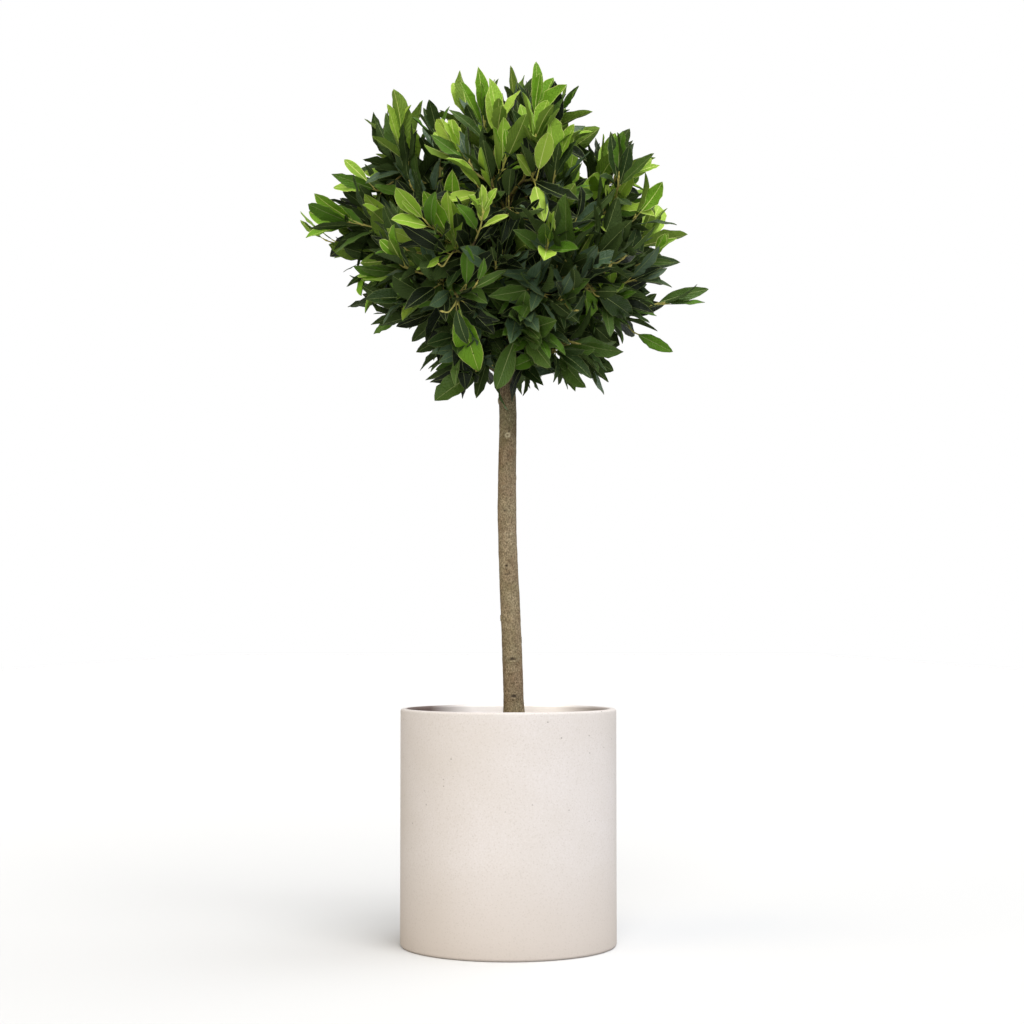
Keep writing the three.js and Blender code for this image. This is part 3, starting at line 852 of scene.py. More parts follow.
# Shoots that reach out furthest or show most: where each ends as shares of the head's box (across, from
# front to back, up), its lean to the right and towards the front in degrees, the size and number of its
# leaves, how many of them are new, and the tint of those, or of all where none is new. The last hangs over
# the fork with its underside out.
LEADERS = [
    (0.27, 0.32, 0.70, -5, 15, 1.0, 6, 4, LIME),
    (0.20, 0.40, 0.61, -14, 10, 0.85, 5, 2, LIME),
    (0.34, 0.07, 0.45, -36, 25, 0.9, 6, 4, SPRING),
    (0.42, 0.20, 0.65, 0, 15, 0.85, 8, 6, LIME),
    (0.47, 0.07, 0.47, 3, 15, 0.65, 6, 5, LIME),
    (0.47, 0.30, 0.77, -2, 5, 0.98, 7, 4, FRESH),
    (0.36, 0.37, 0.74, -18, 0, 0.8, 6, 0, BAY),
    (0.59, 0.30, 0.78, 4, 5, 0.95, 6, 4, FRESH),
    (0.66, 0.41, 0.84, 55, 0, 0.62, 4, 0, GRASS),
    (0.64, 0.18, 0.62, 12, 15, 0.85, 6, 4, SPRING),
    (0.79, 0.23, 0.60, 3, 10, 0.9, 7, 2, FRESH),
    (0.83, 0.41, 0.65, 46, 5, 0.65, 4, 4, SPRING),
    (0.83, 0.28, 0.50, 36, 5, 0.9, 4, 2, FRESH),
    (0.88, 0.45, 0.43, 25, 5, 0.65, 4, 3, FRESH),
    (0.83, 0.40, 0.35, 88, 10, 0.85, 5, 0, BLUE_GREEN),
    (0.91, 0.50, 0.30, 97, 0, 0.95, 3, 0, GRASS),
    (0.85, 0.48, 0.21, 104, 5, 1.05, 2, 0, GRASS),
    (0.77, 0.34, 0.30, -8, 45, 0.75, 7, 4, SPRING),
    (0.62, 0.08, 0.39, 2, 12, 0.88, 8, 5, LIME),
    (0.15, 0.40, 0.51, -84, 5, 1.0, 9, 4, FRESH),
    (0.28, 0.15, 0.36, -28, 35, 0.8, 6, 4, FRESH),
    (0.25, 0.34, 0.36, -97, 5, 0.85, 5, 3, FRESH),
    (0.29, 0.34, 0.29, -112, 5, 0.85, 6, 0, DEEP),
    (0.41, 0.36, 0.19, -118, 10, 0.9, 5, 0, DEEP),
    (0.42, 0.35, 0.15, -162, 5, 0.85, 5, 0, DEEP),
    (0.48, 0.41, 0.16, 178, 5, 0.85, 5, 0, DEEP),
    (0.64, 0.36, 0.15, 176, 5, 0.9, 5, 0, DEEP),
    (0.69, 0.36, 0.17, 146, 5, 0.95, 6, 0, DEEP),
    (0.62, 0.37, 0.14, -98, 5, 0.85, 1, 1, FRESH, True),
]


# A point is inside a mass if a ray from it, a little off upright so that it meets no edge, crosses the
# mass's surface an odd number of times.
RAY = Vector((0.0131, 0.0071, 1.0))
PAST_SURFACE = Vector((0.0, 0.0, 1e-5))
MOST_CROSSINGS = 30


class Mass:
    """One packed mass of foliage: its surface, and tests against it."""

    def __init__(self, name):
        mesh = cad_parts["foliage_" + name].data
        self.name = name
        self.corners = np.array([v.co for v in mesh.vertices], float)
        self.triangles = np.array([list(p.vertices) for p in mesh.polygons])
        self.tree = BVHTree.FromPolygons(self.corners.tolist(), self.triangles.tolist())
        spots = self.corners[self.triangles]
        self.centres = spots.mean(1)
        self.normals = unit(np.cross(spots[:, 1] - spots[:, 0], spots[:, 2] - spots[:, 0]))
        self.middle = self.centres.mean(0)
        self.low, self.high = self.corners.min(0), self.corners.max(0)

    def holds(self, point):
        """True if the point lies inside the mass."""
        hits = 0
        start = Vector(point)
        while hits < MOST_CROSSINGS:
            hit = self.tree.ray_cast(start, RAY)[0]
            if hit is None:
                break
            hits += 1
            start = hit + PAST_SURFACE
        return hits % 2 == 1

    def depth(self, point):
        """The distance from the point to the surface of the mass."""
        return self.tree.find_nearest(Vector(point))[3]


FOLIAGE = {name: Mass(name) for name in MASSES}
HEART = np.mean([line[-1] for line, _ in BOUGHS.values()], axis=0)
HEAD_LOW = np.min([mass.low for mass in FOLIAGE.values()], axis=0)
HEAD_HIGH = np.max([mass.high for mass in FOLIAGE.values()], axis=0)
HEAD_MIDDLE = (HEAD_LOW + HEAD_HIGH) / 2


def head_share(points):
    """Where points lie in the head's box: 0 to 1 across, from front to back and up."""
    return (np.asarray(points) - HEAD_LOW) / (HEAD_HIGH - HEAD_LOW)


def is_outside(point, normal, own):
    """True if a spot of a mass's surface faces open air and not another mass or the open heart."""
    if normal @ unit(point - HEART) < -0.05:
        return False
    start = Vector(point + normal * 1.5 * MM)
    for mass in FOLIAGE.values():
        if mass is not own and mass.tree.ray_cast(start, Vector(normal), OPEN_AIR)[0] is not None:
            return False
    return True


def stands_out(point):
    """How far the point lies outside every mass."""
    furthest = 1.0
    for mass in FOLIAGE.values():
        spot, normal, _, away = mass.tree.find_nearest(Vector(point))
        if (Vector(point) - spot).dot(normal) < 0:
            return 0.0
        furthest = min(furthest, away)
    return furthest


class Spray:
    """One leafy shoot: where its leaves end, the way it points, and how it is dressed."""

    def __init__(self, mass, tip, axis, outer, jut):
        self.mass = mass
        self.tip = tip
        self.axis = axis
        self.outer = outer
        self.jut = jut
        self.leader = False
        self.turned_over = False


def nearest_mass(point):
    """The mass whose bough ends nearest to the point."""
    return min(FOLIAGE.values(), key=lambda mass: np.linalg.norm(BOUGHS[mass.name][0][-1] - point))


def leaders():
    """The shoots that reach out furthest or show most, in their own places."""
    found = []
    for across, back, up, lean, forward, size, leaves, flush, tint, *turned_over in LEADERS:
        end = HEAD_LOW + np.array([across, back, up]) * (HEAD_HIGH - HEAD_LOW)
        lean, forward = math.radians(lean), math.radians(forward)
        axis = np.array([math.sin(lean), 0, math.cos(lean)]) * math.cos(forward)
        axis[1] = -math.sin(forward)
        spray = Spray(nearest_mass(end), end + axis * LEAF_LENGTH * size, axis, True, 0.0)
        spray.end = end
        spray.leader = True
        spray.turned_over = bool(turned_over)
        spray.size, spray.leaves, spray.flush = size, leaves, flush
        spray.new, spray.tint = (tint, BAY) if flush else (SPRING, tint)
        found.append(spray)
    return found


def left_open(place):
    """The share of the sprays that are left out at a place in the head: most low on the right."""
    across, _, up = place
    if across > 0.8 and up < 0.42:
        return 0.55
    return 0.18 if up < 0.6 else 0.0


def outer_sprays(rng, placed):
    """Sprays spread over the outside of the head clear of those placed, each mass's furthest tips first."""
    found = []
    taken = np.array([spray.tip for spray in placed])
    for mass in FOLIAGE.values():
        spots = []
        for triangle, normal in zip(mass.corners[mass.triangles], mass.normals):
            for point in (*triangle, triangle.mean(0)):
                spots.append((point, normal))
        reach = np.array([np.linalg.norm(point - mass.middle) for point, _ in spots])
        usual = np.median(reach)
        for i in np.argsort(-reach):
            point, normal = spots[i]
            if np.linalg.norm(taken - point, axis=1).min() < SPRAY_SPACING:
                continue
            if not is_outside(point, normal, mass):
                continue
            taken = np.vstack([taken, point])
            if rng.random() < left_open(head_share(point)):
                continue
            jut = float(np.clip((reach[i] - usual) / JUT_SPAN, 0, 1))
            away = unit(point - mass.middle) * (0.7 + jut) + unit(point - HEART) * 0.6
            found.append(Spray(mass, point, away + rng.normal(0, 0.14, 3), True, jut))
    return found


def inner_sprays(rng):
    """Smaller sprays inside the masses, in the shade of the outer ones."""
    found = []
    taken = np.empty((0, 3))
    for mass in FOLIAGE.values():
        for _ in range(INNER_TRIES):
            point = rng.uniform(mass.low, mass.high)
            if len(taken) and np.linalg.norm(taken - point, axis=1).min() < INNER_SPACING:
                continue
            if head_share(point)[2] < INNER_FLOOR:
                continue
            if not mass.holds(point) or mass.depth(point) < INNER_DEPTH:
                continue
            taken = np.vstack([taken, point])
            away = unit(point - HEART) + rng.normal(0, 0.45, 3)
            found.append(Spray(mass, point, away, False, 0.0))
    return found


def fork_sprays(rng):
    """Sprays low round the fork, where the boughs leave the trunk."""
    found = []
    fork = TRUNK_CENTRES[-1]
    for i in range(FORK_SPRAYS):
        turn = i * GOLDEN_ANGLE
        reach = rng.uniform(*FORK_REACH) * MM
        away = np.array([math.cos(turn), math.sin(turn), 0.0])
        point = fork + away * reach + UP * rng.uniform(*FORK_RISE) * MM
        found.append(Spray(nearest_mass(point), point, away + rng.normal(0, 0.3, 3), True, 0.0))
    return found


# How far shoots turn up or down: heights in the head, then the values there.
LIFT = ((0.0, 0.1, 0.2, 0.35, 0.6, 1.0), (-0.8, -0.4, 0.35, 1.3, 1.6, 1.6))

# How far the shoots of these masses turn up, against the others at their height.
SPREADING = {"left": 0.25, "low_left": 0.5, "right": 0.7, "low_right": 0.1, "back_left": 0.6}


def set_axes(sprays, rng):
    """Turns each spray up or down by its height in the head: most reach up and the skirt hangs."""
    for spray in sprays:
        lift = np.interp(head_share(spray.tip)[2], *LIFT)
        if lift > 0:
            lift *= SPREADING.get(spray.mass.name, 1.0) * rng.uniform(0.7, 1.2)
        spray.axis = unit(unit(spray.axis) + UP * lift)


# ------------------------------------------------------------------------------------------- branching

class Branching:
    """The twigs of one mass, which all start from its bough."""

    def __init__(self, line, radii):
        start = int(len(line) * BARE_SHARE)
        kept = line[start:]
        self.points = [*kept]
        self.headings = [*headings_along(line)[start:]]
        self.parents = [-1] + list(range(len(kept) - 1))
        self.travelled = [*lengths_along(kept)]
        self.chains = []
        self.bough_end = radii[-1]

    def reach(self, goal, axis):
        """Grows a twig to the goal from where it costs least in length, detour and turning."""
        points = np.array(self.points)
        apart = goal - points
        distance = np.linalg.norm(apart, axis=1)
        turning = 1 - np.einsum("ij,ij->i", np.array(self.headings), unit(apart))
        cost = distance + DETOUR * np.array(self.travelled) + TURN_COST * turning
        parent = int(np.argmin(cost + np.where(distance < LEAST_TWIG, 1.0, 0.0)))
        start = points[parent]
        span = distance[parent]
        leaving = unit(self.headings[parent] + unit(goal - start) * 1.1) * span
        arriving = axis * span * 0.9
        steps = max(4, int(span / TWIG_STEP))
        t = np.linspace(0, 1, steps + 1)[1:, None]
        rise = t * t * (3 - 2 * t)
        path = start * (1 - rise) + goal * rise + leaving * t * (1 - t) ** 2 - arriving * t * t * (1 - t)
        chain = [parent]
        for point in path:
            before = chain[-1]
            self.headings.append(unit(point - self.points[before]))
            self.travelled.append(self.travelled[before] + np.linalg.norm(point - self.points[before]))
            self.points.append(point)
            self.parents.append(before)
            chain.append(len(self.points) - 1)
        self.chains.append(chain)

    def girths(self):
        """The radius at every point, by how many shoots it feeds."""
        fed = np.zeros(len(self.points))
        for chain in self.chains:
            at = chain[-1]
            while at >= 0:
                fed[at] += 1
                at = self.parents[at]
        girth = SHOOT_GIRTH * np.maximum(fed, 1) ** (1 / PIPE_POWER)
        return np.minimum(girth, self.bough_end * 1.02)


def grow(sprays):
    """Gives every spray its path and radii, from its parent twig to its end, and lists them by mass."""
    grown = []
    for name, (line, radii) in BOUGHS.items():
        own = [spray for spray in sprays if spray.mass.name == name]
        own.sort(key=lambda spray: np.linalg.norm(spray.end - line[-1]))
        branching = Branching(line, radii)
        for spray in own:
            branching.reach(spray.end, spray.axis)
        girths = branching.girths()
        points = np.array(branching.points)
        for spray, chain in zip(own, branching.chains):
            path = points[chain]
            girth = girths[chain].copy()
            girth[0] = girth[1]
            travelled = lengths_along(path)
            fine = np.linspace(0, travelled[-1], len(path) * 2)
            spray.path = smooth_between(travelled, path, fine)
            spray.girth = np.interp(fine, travelled, girth)
            grown.append(spray)
    return grown


# ----------------------------------------------------------------------------------------------- leaves

# One leaf's rows each hold eight vertices over the upper side, margin to margin, then four underneath,
# below the upper side's middle ones. Their places across the leaf's map are the same in every row.
UPPER = np.arange(8)
UNDER = np.array([0, 8, 9, 10, 11, 7])
UNDER_COLUMNS = [2, 3, 4, 5]
ROW = 12
MAP_ACROSS = np.array([0.0, 0.04, 0.24, 0.49, 0.51, 0.76, 0.96, 1.0, 0.24, 0.49, 0.51, 0.76])
LEAF_VERTICES = LEAF_ROWS * ROW
STALK_SIDES = 4
STALK_RINGS = 4
WHOLE_LEAF = LEAF_VERTICES + STALK_SIDES * STALK_RINGS

# What each face of a leaf belongs to.
BLADE, MARGIN, RIB, UNDERSIDE, STALK = range(5)
UPPER_PARTS = [MARGIN, BLADE, BLADE, RIB, BLADE, BLADE, MARGIN]
UNDER_PARTS = [UNDERSIDE, UNDERSIDE, RIB, UNDERSIDE, UNDERSIDE]


def leaf_template():
    """The four-sided faces of one leaf with their parts, then the faces that close its base and its tip."""
    quads, parts = [], []
    for row in range(LEAF_ROWS - 1):
        first, second = row * ROW, (row + 1) * ROW
        for j, part in enumerate(UPPER_PARTS):
            left, right = UPPER[j], UPPER[j + 1]
            quads.append([first + left, first + right, second + right, second + left])
            parts.append(part)
        for j, part in enumerate(UNDER_PARTS):
            left, right = UNDER[j], UNDER[j + 1]
            quads.append([first + left, second + left, second + right, first + right])
            parts.append(part)
    stalk = grid_faces(STALK_RINGS, STALK_SIDES) + LEAF_VERTICES
    quads += stalk.tolist()
    parts += [STALK] * len(stalk)
    for ring, turn in ((0, -1), (STALK_RINGS - 1, 1)):
        first = LEAF_VERTICES + ring * STALK_SIDES
        quads.append([first + k for k in range(STALK_SIDES)][::turn])
        parts.append(STALK)
    round_row = np.concatenate([UPPER, UNDER[-2:0:-1]])
    ends = [round_row[::-1], round_row + (LEAF_ROWS - 1) * ROW]
    return np.array(quads), np.array(parts), np.array(ends)


QUADS, QUAD_PARTS, ENDS = leaf_template()


def leaf_sections(leaf, share):
    """Each row's vertices across the blade and up from it, and the half width that they follow."""
    base_power = leaf["base_power"][:, None]
    tip_power = leaf["tip_power"][:, None]
    peak = base_power / (base_power + tip_power)
    half = leaf["width"][:, None] / 2
    half = half * (share / peak) ** base_power * ((1 - share) / (1 - peak)) ** tip_power
    flutter = leaf["flutter"][:, None]
    ripple = math.tau * leaf["ripples"][:, None] * share + leaf["phase"][:, None]
    nicks = leaf["phase"][:, None] * 3 + share * 61
    waves = EDGE_WAVE * flutter
    left = half * (1 + waves * np.sin(ripple * 1.6) + EDGE_NICK * np.sin(nicks))
    right = half * (1 + waves * np.sin(ripple * 1.8 + 2) + EDGE_NICK * np.sin(nicks * 1.3))
    left, right = left + LEAST_HALF_WIDTH, right + LEAST_HALF_WIDTH
    rib = np.minimum(leaf["rib_width"][:, None] * (1 - 0.72 * share), half * 0.4 + 0.1 * MM)
    rim = np.minimum(MARGIN_WIDTH, half * 0.3)
    across = np.stack(
        [-left, rim - left, -0.52 * left, -rib, rib, 0.52 * right, right - rim, right], axis=-1
    )
    outness = np.abs(across) / np.maximum(half[..., None] + LEAST_HALF_WIDTH, 1e-6)
    wave = np.stack([np.sin(ripple)] * 4 + [np.sin(ripple + leaf["phase"][:, None] * 1.7)] * 4, axis=-1)
    curl = leaf["cup"][:, None, None] + 0.2 * flutter[..., None] * wave
    height = np.abs(across) * np.tan(leaf["fold"])[:, None, None] + curl * outness**2 * half[..., None]
    height[..., 3:5] -= 0.12 * MM
    height[..., [1, 6]] += 0.06 * MM
    under_across = across[..., UNDER_COLUMNS]
    under_height = height[..., UNDER_COLUMNS] - LEAF_THICKNESS
    under_height[..., 1:3] -= 0.55 * rib[..., None]
    return np.concatenate([across, under_across], axis=-1), np.concatenate([height, under_height], axis=-1)


def leaf_blades(leaf, share):
    """The vertices of the blades: sections set along a midrib that bends, sways aside and twists."""
    across, height = leaf_sections(leaf, share)
    bend = leaf["bend"][:, None] * share**1.3
    advance = leaf["length"][:, None] * np.diff(share, prepend=0.0)
    along = np.cumsum(advance * np.cos(bend), axis=1)
    drop = np.cumsum(advance * np.sin(bend), axis=1)
    sway = (leaf["sway"] * leaf["length"])[:, None] * share**2
    twist = (leaf["twist"][:, None] * share)[..., None]
    turned_across = across * np.cos(twist) - height * np.sin(twist) + sway[..., None]
    turned_height = across * np.sin(twist) + height * np.cos(twist)
    forward = along[..., None] + turned_height * np.sin(bend)[..., None]
    upward = turned_height * np.cos(bend)[..., None] - drop[..., None]
    return (
        leaf["base"][:, None, None]
        + turned_across[..., None] * leaf["side"][:, None, None]
        + forward[..., None] * leaf["heading"][:, None, None]
        + upward[..., None] * leaf["face"][:, None, None]
    ).reshape(len(across), -1, 3)


def leaf_stalks(leaf):
    """The vertices of the leaf stalks, which leave the shoot and bow round into the midribs."""
    reach = np.linspace(0, 1, STALK_RINGS)[None, :, None]
    chord = leaf["base"] - leaf["node"]
    bow = leaf["heading"] * np.linalg.norm(chord, axis=1)[:, None] - chord
    straight = leaf["node"][:, None] + chord[:, None] * reach * 1.04
    centre = straight - bow[:, None] * reach * (1 - reach) * 0.7
    angle = np.arange(STALK_SIDES) * math.tau / STALK_SIDES
    ring = (
        leaf["side"][:, None] * np.cos(angle)[None, :, None]
        + leaf["face"][:, None] * np.sin(angle)[None, :, None]
    )
    girth = np.linspace(STALK_GIRTH, 0.72 * STALK_GIRTH, STALK_RINGS)[None, :, None, None]
    return (centre[:, :, None] + ring[:, None] * girth).reshape(len(chord), -1, 3)


def leaf_shapes(leaf):
    """Vertices and map places of many leaves at once, from arrays of their sizes, places and turns."""
    share = np.linspace(0, 1, LEAF_ROWS)
    share = share - 0.06 * np.sin(math.tau * share)
    points = np.concatenate([leaf_blades(leaf, share), leaf_stalks(leaf)], axis=1)
    places = np.zeros((len(points), WHOLE_LEAF, 2))
    places[:, :LEAF_VERTICES, 0] = np.tile(MAP_ACROSS, LEAF_ROWS)
    places[:, :LEAF_VERTICES, 1] = np.repeat(share, ROW)
    return points, places


def rim_edges(ends):
    """Marks the edges that lie on a leaf's margin, where its two sides meet."""
    spot = ends % WHOLE_LEAF
    on_blade = (spot < LEAF_VERTICES).all(axis=1)
    column = spot % ROW
    same = column[:, 0] == column[:, 1]
    return on_blade & same & np.isin(column[:, 0], (0, 7))


# The slots of the parts of new leaves and of old ones, after the tints of the upper sides.
PART_SLOTS = {
    "new": {MARGIN: 8, RIB: 8, UNDERSIDE: 10, STALK: 12},
    "old": {MARGIN: 14, RIB: 9, UNDERSIDE: 11, STALK: 13},
}


def leaf_skins():
    """The tints of the upper sides, then ribs, undersides, stalks and the older leaves' margins."""
    skins = []
    for i, (name, tone) in enumerate(TINTS.items()):
        old = i > GRASS
        shine = 0.5 if i == BLUE_GREEN else 0.2
        skins.append(blade("leaf_" + name, tone, 0.38 if old else 0.46, -0.6, shine))
    skins.append(blade("rib_new", colour(200, 210, 120), 0.5, 0.0, 0.2))
    skins.append(blade("rib_old", colour(132, 146, 90), 0.5, 0.0, 0.2))
    skins.append(blade("underside_new", colour(116, 144, 54), 0.6, 0.8, 0.12))
    skins.append(blade("underside_old", colour(60, 78, 36), 0.6, 0.8, 0.12))
    skins.append(stem_skin("stalk_new", colour(186, 182, 88), None, 0.45))
    skins.append(stem_skin("stalk_old", colour(158, 150, 78), None, 0.5))
    # Pale margins of the older leaves: partly their own paler edge, partly a painted edge highlight.
    skins.append(blade("margin_old", colour(98, 112, 64), 0.5, 0.0, 0.2))
    return skins


# Where the newest shoots stand, as shares of the head's box: across, from front to back, and up.
NEW_GROWTH = [
    (0.63, 0.34, 0.90), (0.27, 0.32, 0.82), (0.72, 0.37, 0.26), (0.90, 0.42, 0.47),
    (0.30, 0.80, 0.80), (0.62, 0.95, 0.74), (0.45, 0.85, 0.92), (0.78, 0.75, 0.86), (0.12, 0.70, 0.66),
    (0.50, 1.00, 0.50), (0.70, 0.95, 0.55), (0.25, 0.95, 0.62),
]
NEW_GROWTH_SPREAD = 44 * MM

# How likely a spray is to have new leaves: heights in the head, then the chances there.
FLUSH_CHANCE = ((0.0, 0.25, 0.45, 0.57, 0.72, 0.9), (0.05, 0.1, 0.1, 0.32, 0.65, 0.7))

# Heights in the head, and there the shares of the tints from grass to shade among the older leaves.
MIX_HEIGHTS = (0.2, 0.55, 0.9)
MIXES = [(0.12, 0.32, 0.16, 0.28, 0.12), (0.08, 0.18, 0.26, 0.16, 0.32), (0.10, 0.18, 0.28, 0.04, 0.40)]


def colour_spray(spray, rng):
    """Gives a spray the tint of its older leaves, and the number and tint of its new ones."""
    across, _, up = head_share(spray.tip)
    spray.new = SPRING
    spray.flush = 0
    if not spray.outer:
        # Leaves inside the head take the near-black tint: painted shade.
        spray.tint = SHADE
        return
    mix = np.array([np.interp(up, MIX_HEIGHTS, shares) for shares in zip(*MIXES)])
    # More of the blue green tint, with its painted sheen, towards the right.
    mix[BLUE_GREEN - GRASS] += 0.25 * max(0.0, across - 0.4)
    spray.tint = GRASS + int(rng.choice(len(mix), p=mix / mix.sum()))
    spots = HEAD_LOW + np.array(NEW_GROWTH) * (HEAD_HIGH - HEAD_LOW)
    chance = np.interp(up, *FLUSH_CHANCE)
    if np.linalg.norm(spots - spray.tip, axis=1).min() < NEW_GROWTH_SPREAD:
        spray.new = int(rng.choice([LIME, SPRING] if up > 0.52 else [SPRING, FRESH, FRESH]))
        spray.flush = int(rng.integers(*NEW_LEAVES))
    elif rng.random() < chance * (1.25 - 0.5 * across):
        if up > 0.5:
            spray.new = int(rng.choice([LIME, SPRING, SPRING, FRESH]))
        else:
            spray.new = FRESH if up > 0.3 else BAY
        spray.flush = int(rng.integers(*NEW_LEAVES))


def leaf_tint(spray, i, rng):
    """The tint of a spray's leaf, counted from its end."""
    if i < spray.flush:
        return spray.new + int(rng.random() < 0.3 and spray.new < GRASS)
    return int(np.clip(spray.tint + rng.choice([-1, 0, 0, 1]), GRASS, SHADE))


# How the leaves of a shoot are set: heights in the head, then how far they sag, how far they face up and
# away from the middle of the head, and how wide they open.
SAG = ((0.0, 0.12, 0.25, 0.6, 1.0), (0.8, 0.35, -0.1, -0.18, -0.24))
FACING_UP = ((0.0, 0.15, 0.5, 0.72, 1.0), (0.5, 0.6, 0.3, 0.2, 0.2))
FACING_OUT = ((0.0, 0.15, 0.5, 0.72, 1.0), (0.3, 0.1, 0.3, 0.45, 0.5))
SPREAD = ((0.0, 0.25, 0.5, 0.75), (1.0, 0.86, 0.9, 0.95))

# From a shoot's end to its last leaf: how many degrees a leaf opens from the shoot, and its size.
OPENING = ((0, 0.3, 1), (10, 34, 66))
SIZES = ((0, 0.2, 0.7, 1), (0.74, 1.0, 1.04, 0.9))


def leaf_stance(spray, i, axis, turn, rng):
    """Which way a spray's leaf points, and which way its upper side faces."""
    young = i < spray.flush
    height = head_share(spray.tip)[2]
    sag, facing_up, facing_out, spread = (
        np.interp(height, *table) for table in (SAG, FACING_UP, FACING_OUT, SPREAD)
    )
    outward = unit(spray.tip - HEAD_MIDDLE)
    side = unit(np.cross(axis, UP + np.array([0.01, 0.02, 0.0])))
    out = side * math.cos(turn) + np.cross(side, axis) * math.sin(turn)
    if spray.leader:
        outward = unit(outward - np.array([0, 1.2, 0]))
        out = unit(out * np.array([1.0, 0.5, 1.0]))
        spread *= 0.75
    opening = np.interp(i / USUAL_LEAVES, *OPENING) + rng.normal(0, 9)
    opening = math.radians(opening * spread * (0.9 if young else 1.0))
    heading = axis * math.cos(opening) + out * math.sin(opening)
    heading = unit(heading - UP * sag * (0.4 + 0.6 * i / USUAL_LEAVES) + rng.normal(0, 0.05, 3))
    face = axis * math.sin(opening) - out * math.cos(opening)
    shown = facing_out + 0.3 * young + 0.6 * spray.leader
    face = face * 0.9 + UP * facing_up + outward * shown + rng.normal(0, 0.2, 3)
    face = unit(face - heading * (face @ heading))
    if rng.random() < TURNED_OVER_SHARE or spray.turned_over:
        face = -face
    return heading, face


def leaf_form(young, rng):
    """The outline of one leaf, and how it ripples, bends, twists and folds."""
    return {
        "rib_width": (0.8 if young else 0.5) * MM,
        "base_power": rng.uniform(0.8, 1.05),
        "tip_power": rng.uniform(0.68, 0.98) if young else rng.uniform(0.78, 1.15),
        "flutter": rng.uniform(0.2, 0.7) if young else rng.uniform(0.4, 1.0),
        "ripples": rng.uniform(2.0, 3.4),
        "phase": rng.uniform(0, math.tau),
        "bend": math.radians(rng.normal(6, 12) if young else rng.normal(12, 15)),
        "sway": rng.normal(0, 0.05),
        "twist": math.radians(rng.normal(0, 15)),
        "fold": math.radians(np.clip(rng.normal(15, 8), 0, 34)),
        "cup": rng.normal(0.02, 0.08),
    }


def strays(spray, leaf_end):
    """True if a leaf's tip stands too far out of the masses, or out of the whole part's box."""
    proud = np.max([np.array(cad_low) - leaf_end, leaf_end - np.array(cad_high)])
    loose = spray.outer and not spray.leader and stands_out(leaf_end) > STRAY
    return loose or proud > STRAY


def dress(sprays, rng):
    """Every leaf of the given sprays, as arrays, with the slots of its parts."""
    rows = []
    for spray in sprays:
        count = spray.leaves
        travelled = lengths_along(spray.path)
        leafy = min(LEAFY_LENGTH * count / USUAL_LEAVES, travelled[-1] * 0.96)
        turn = rng.uniform(0, math.tau)
        for i in range(count):
            young = i < spray.flush
            back = leafy * (i / max(count - 1, 1)) ** 1.25
            spots = travelled[-1] - back + np.array([-3 * MM, 0.0, 3 * MM])
            behind, node, ahead = np.stack(
                [np.interp(spots, travelled, spray.path[:, k]) for k in range(3)], axis=-1
            )
            axis = unit(ahead - behind)
            turn += GOLDEN_ANGLE + rng.normal(0, 0.22)
            heading, face = leaf_stance(spray, i, axis, turn, rng)
            size = np.interp(i / USUAL_LEAVES, *SIZES) * rng.normal(1, 0.1 if spray.leader else 0.19)
            size = float(np.clip(size, 0.5, 1.35)) * (1.0 if spray.outer else 0.92)
            length = LEAF_LENGTH * spray.size * size * (1.04 if young else 1.0)
            plump = rng.normal(0.4, 0.05) if young else rng.normal(0.33, 0.045)
            tint = leaf_tint(spray, i, rng)
            slots = PART_SLOTS["new" if tint <= FRESH else "old"]
            stalk = rng.uniform(*STALK_LENGTH) * MM * spray.size
            base = node + unit(heading + axis * 0.3) * stalk
            form = leaf_form(young, rng)
            if strays(spray, base + heading * length):
                continue
            rows.append({
                "length": length,
                "width": length * float(np.clip(plump, 0.25, 0.5)),
                "node": node,
                "base": base,
                "heading": heading,
                "face": face,
                "slots": [tint, slots[MARGIN], slots[RIB], slots[UNDERSIDE], slots[STALK]],
                **form,
            })
    leaf = {name: np.array([row[name] for row in rows]) for name in rows[0]}
    leaf["side"] = np.cross(leaf["heading"], leaf["face"])
    return leaf


def make_leaves(name, masses, sprays, skins, rng):
    """All the leaves of a group of masses, joined to one piece."""
    leaf = dress([spray for spray in sprays if spray.mass.name in masses], rng)
    points, places = leaf_shapes(leaf)
    shift = (np.arange(len(points)) * WHOLE_LEAF)[:, None, None]
    faces = [(QUADS[None] + shift).reshape(-1, 4), (ENDS[None] + shift).reshape(-1, ROW)]
    slots = leaf["slots"]
    slots = np.concatenate([slots[:, QUAD_PARTS].ravel(), np.repeat(slots[:, MARGIN], len(ENDS))])
    stock = Stock()
    stock.add(points, faces, slot=slots, places=places)
    made = stock.piece(name, skins, map_name="blade", sharp=rim_edges)
    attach(made, BODY)
    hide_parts(*["foliage_" + mass for mass in masses])


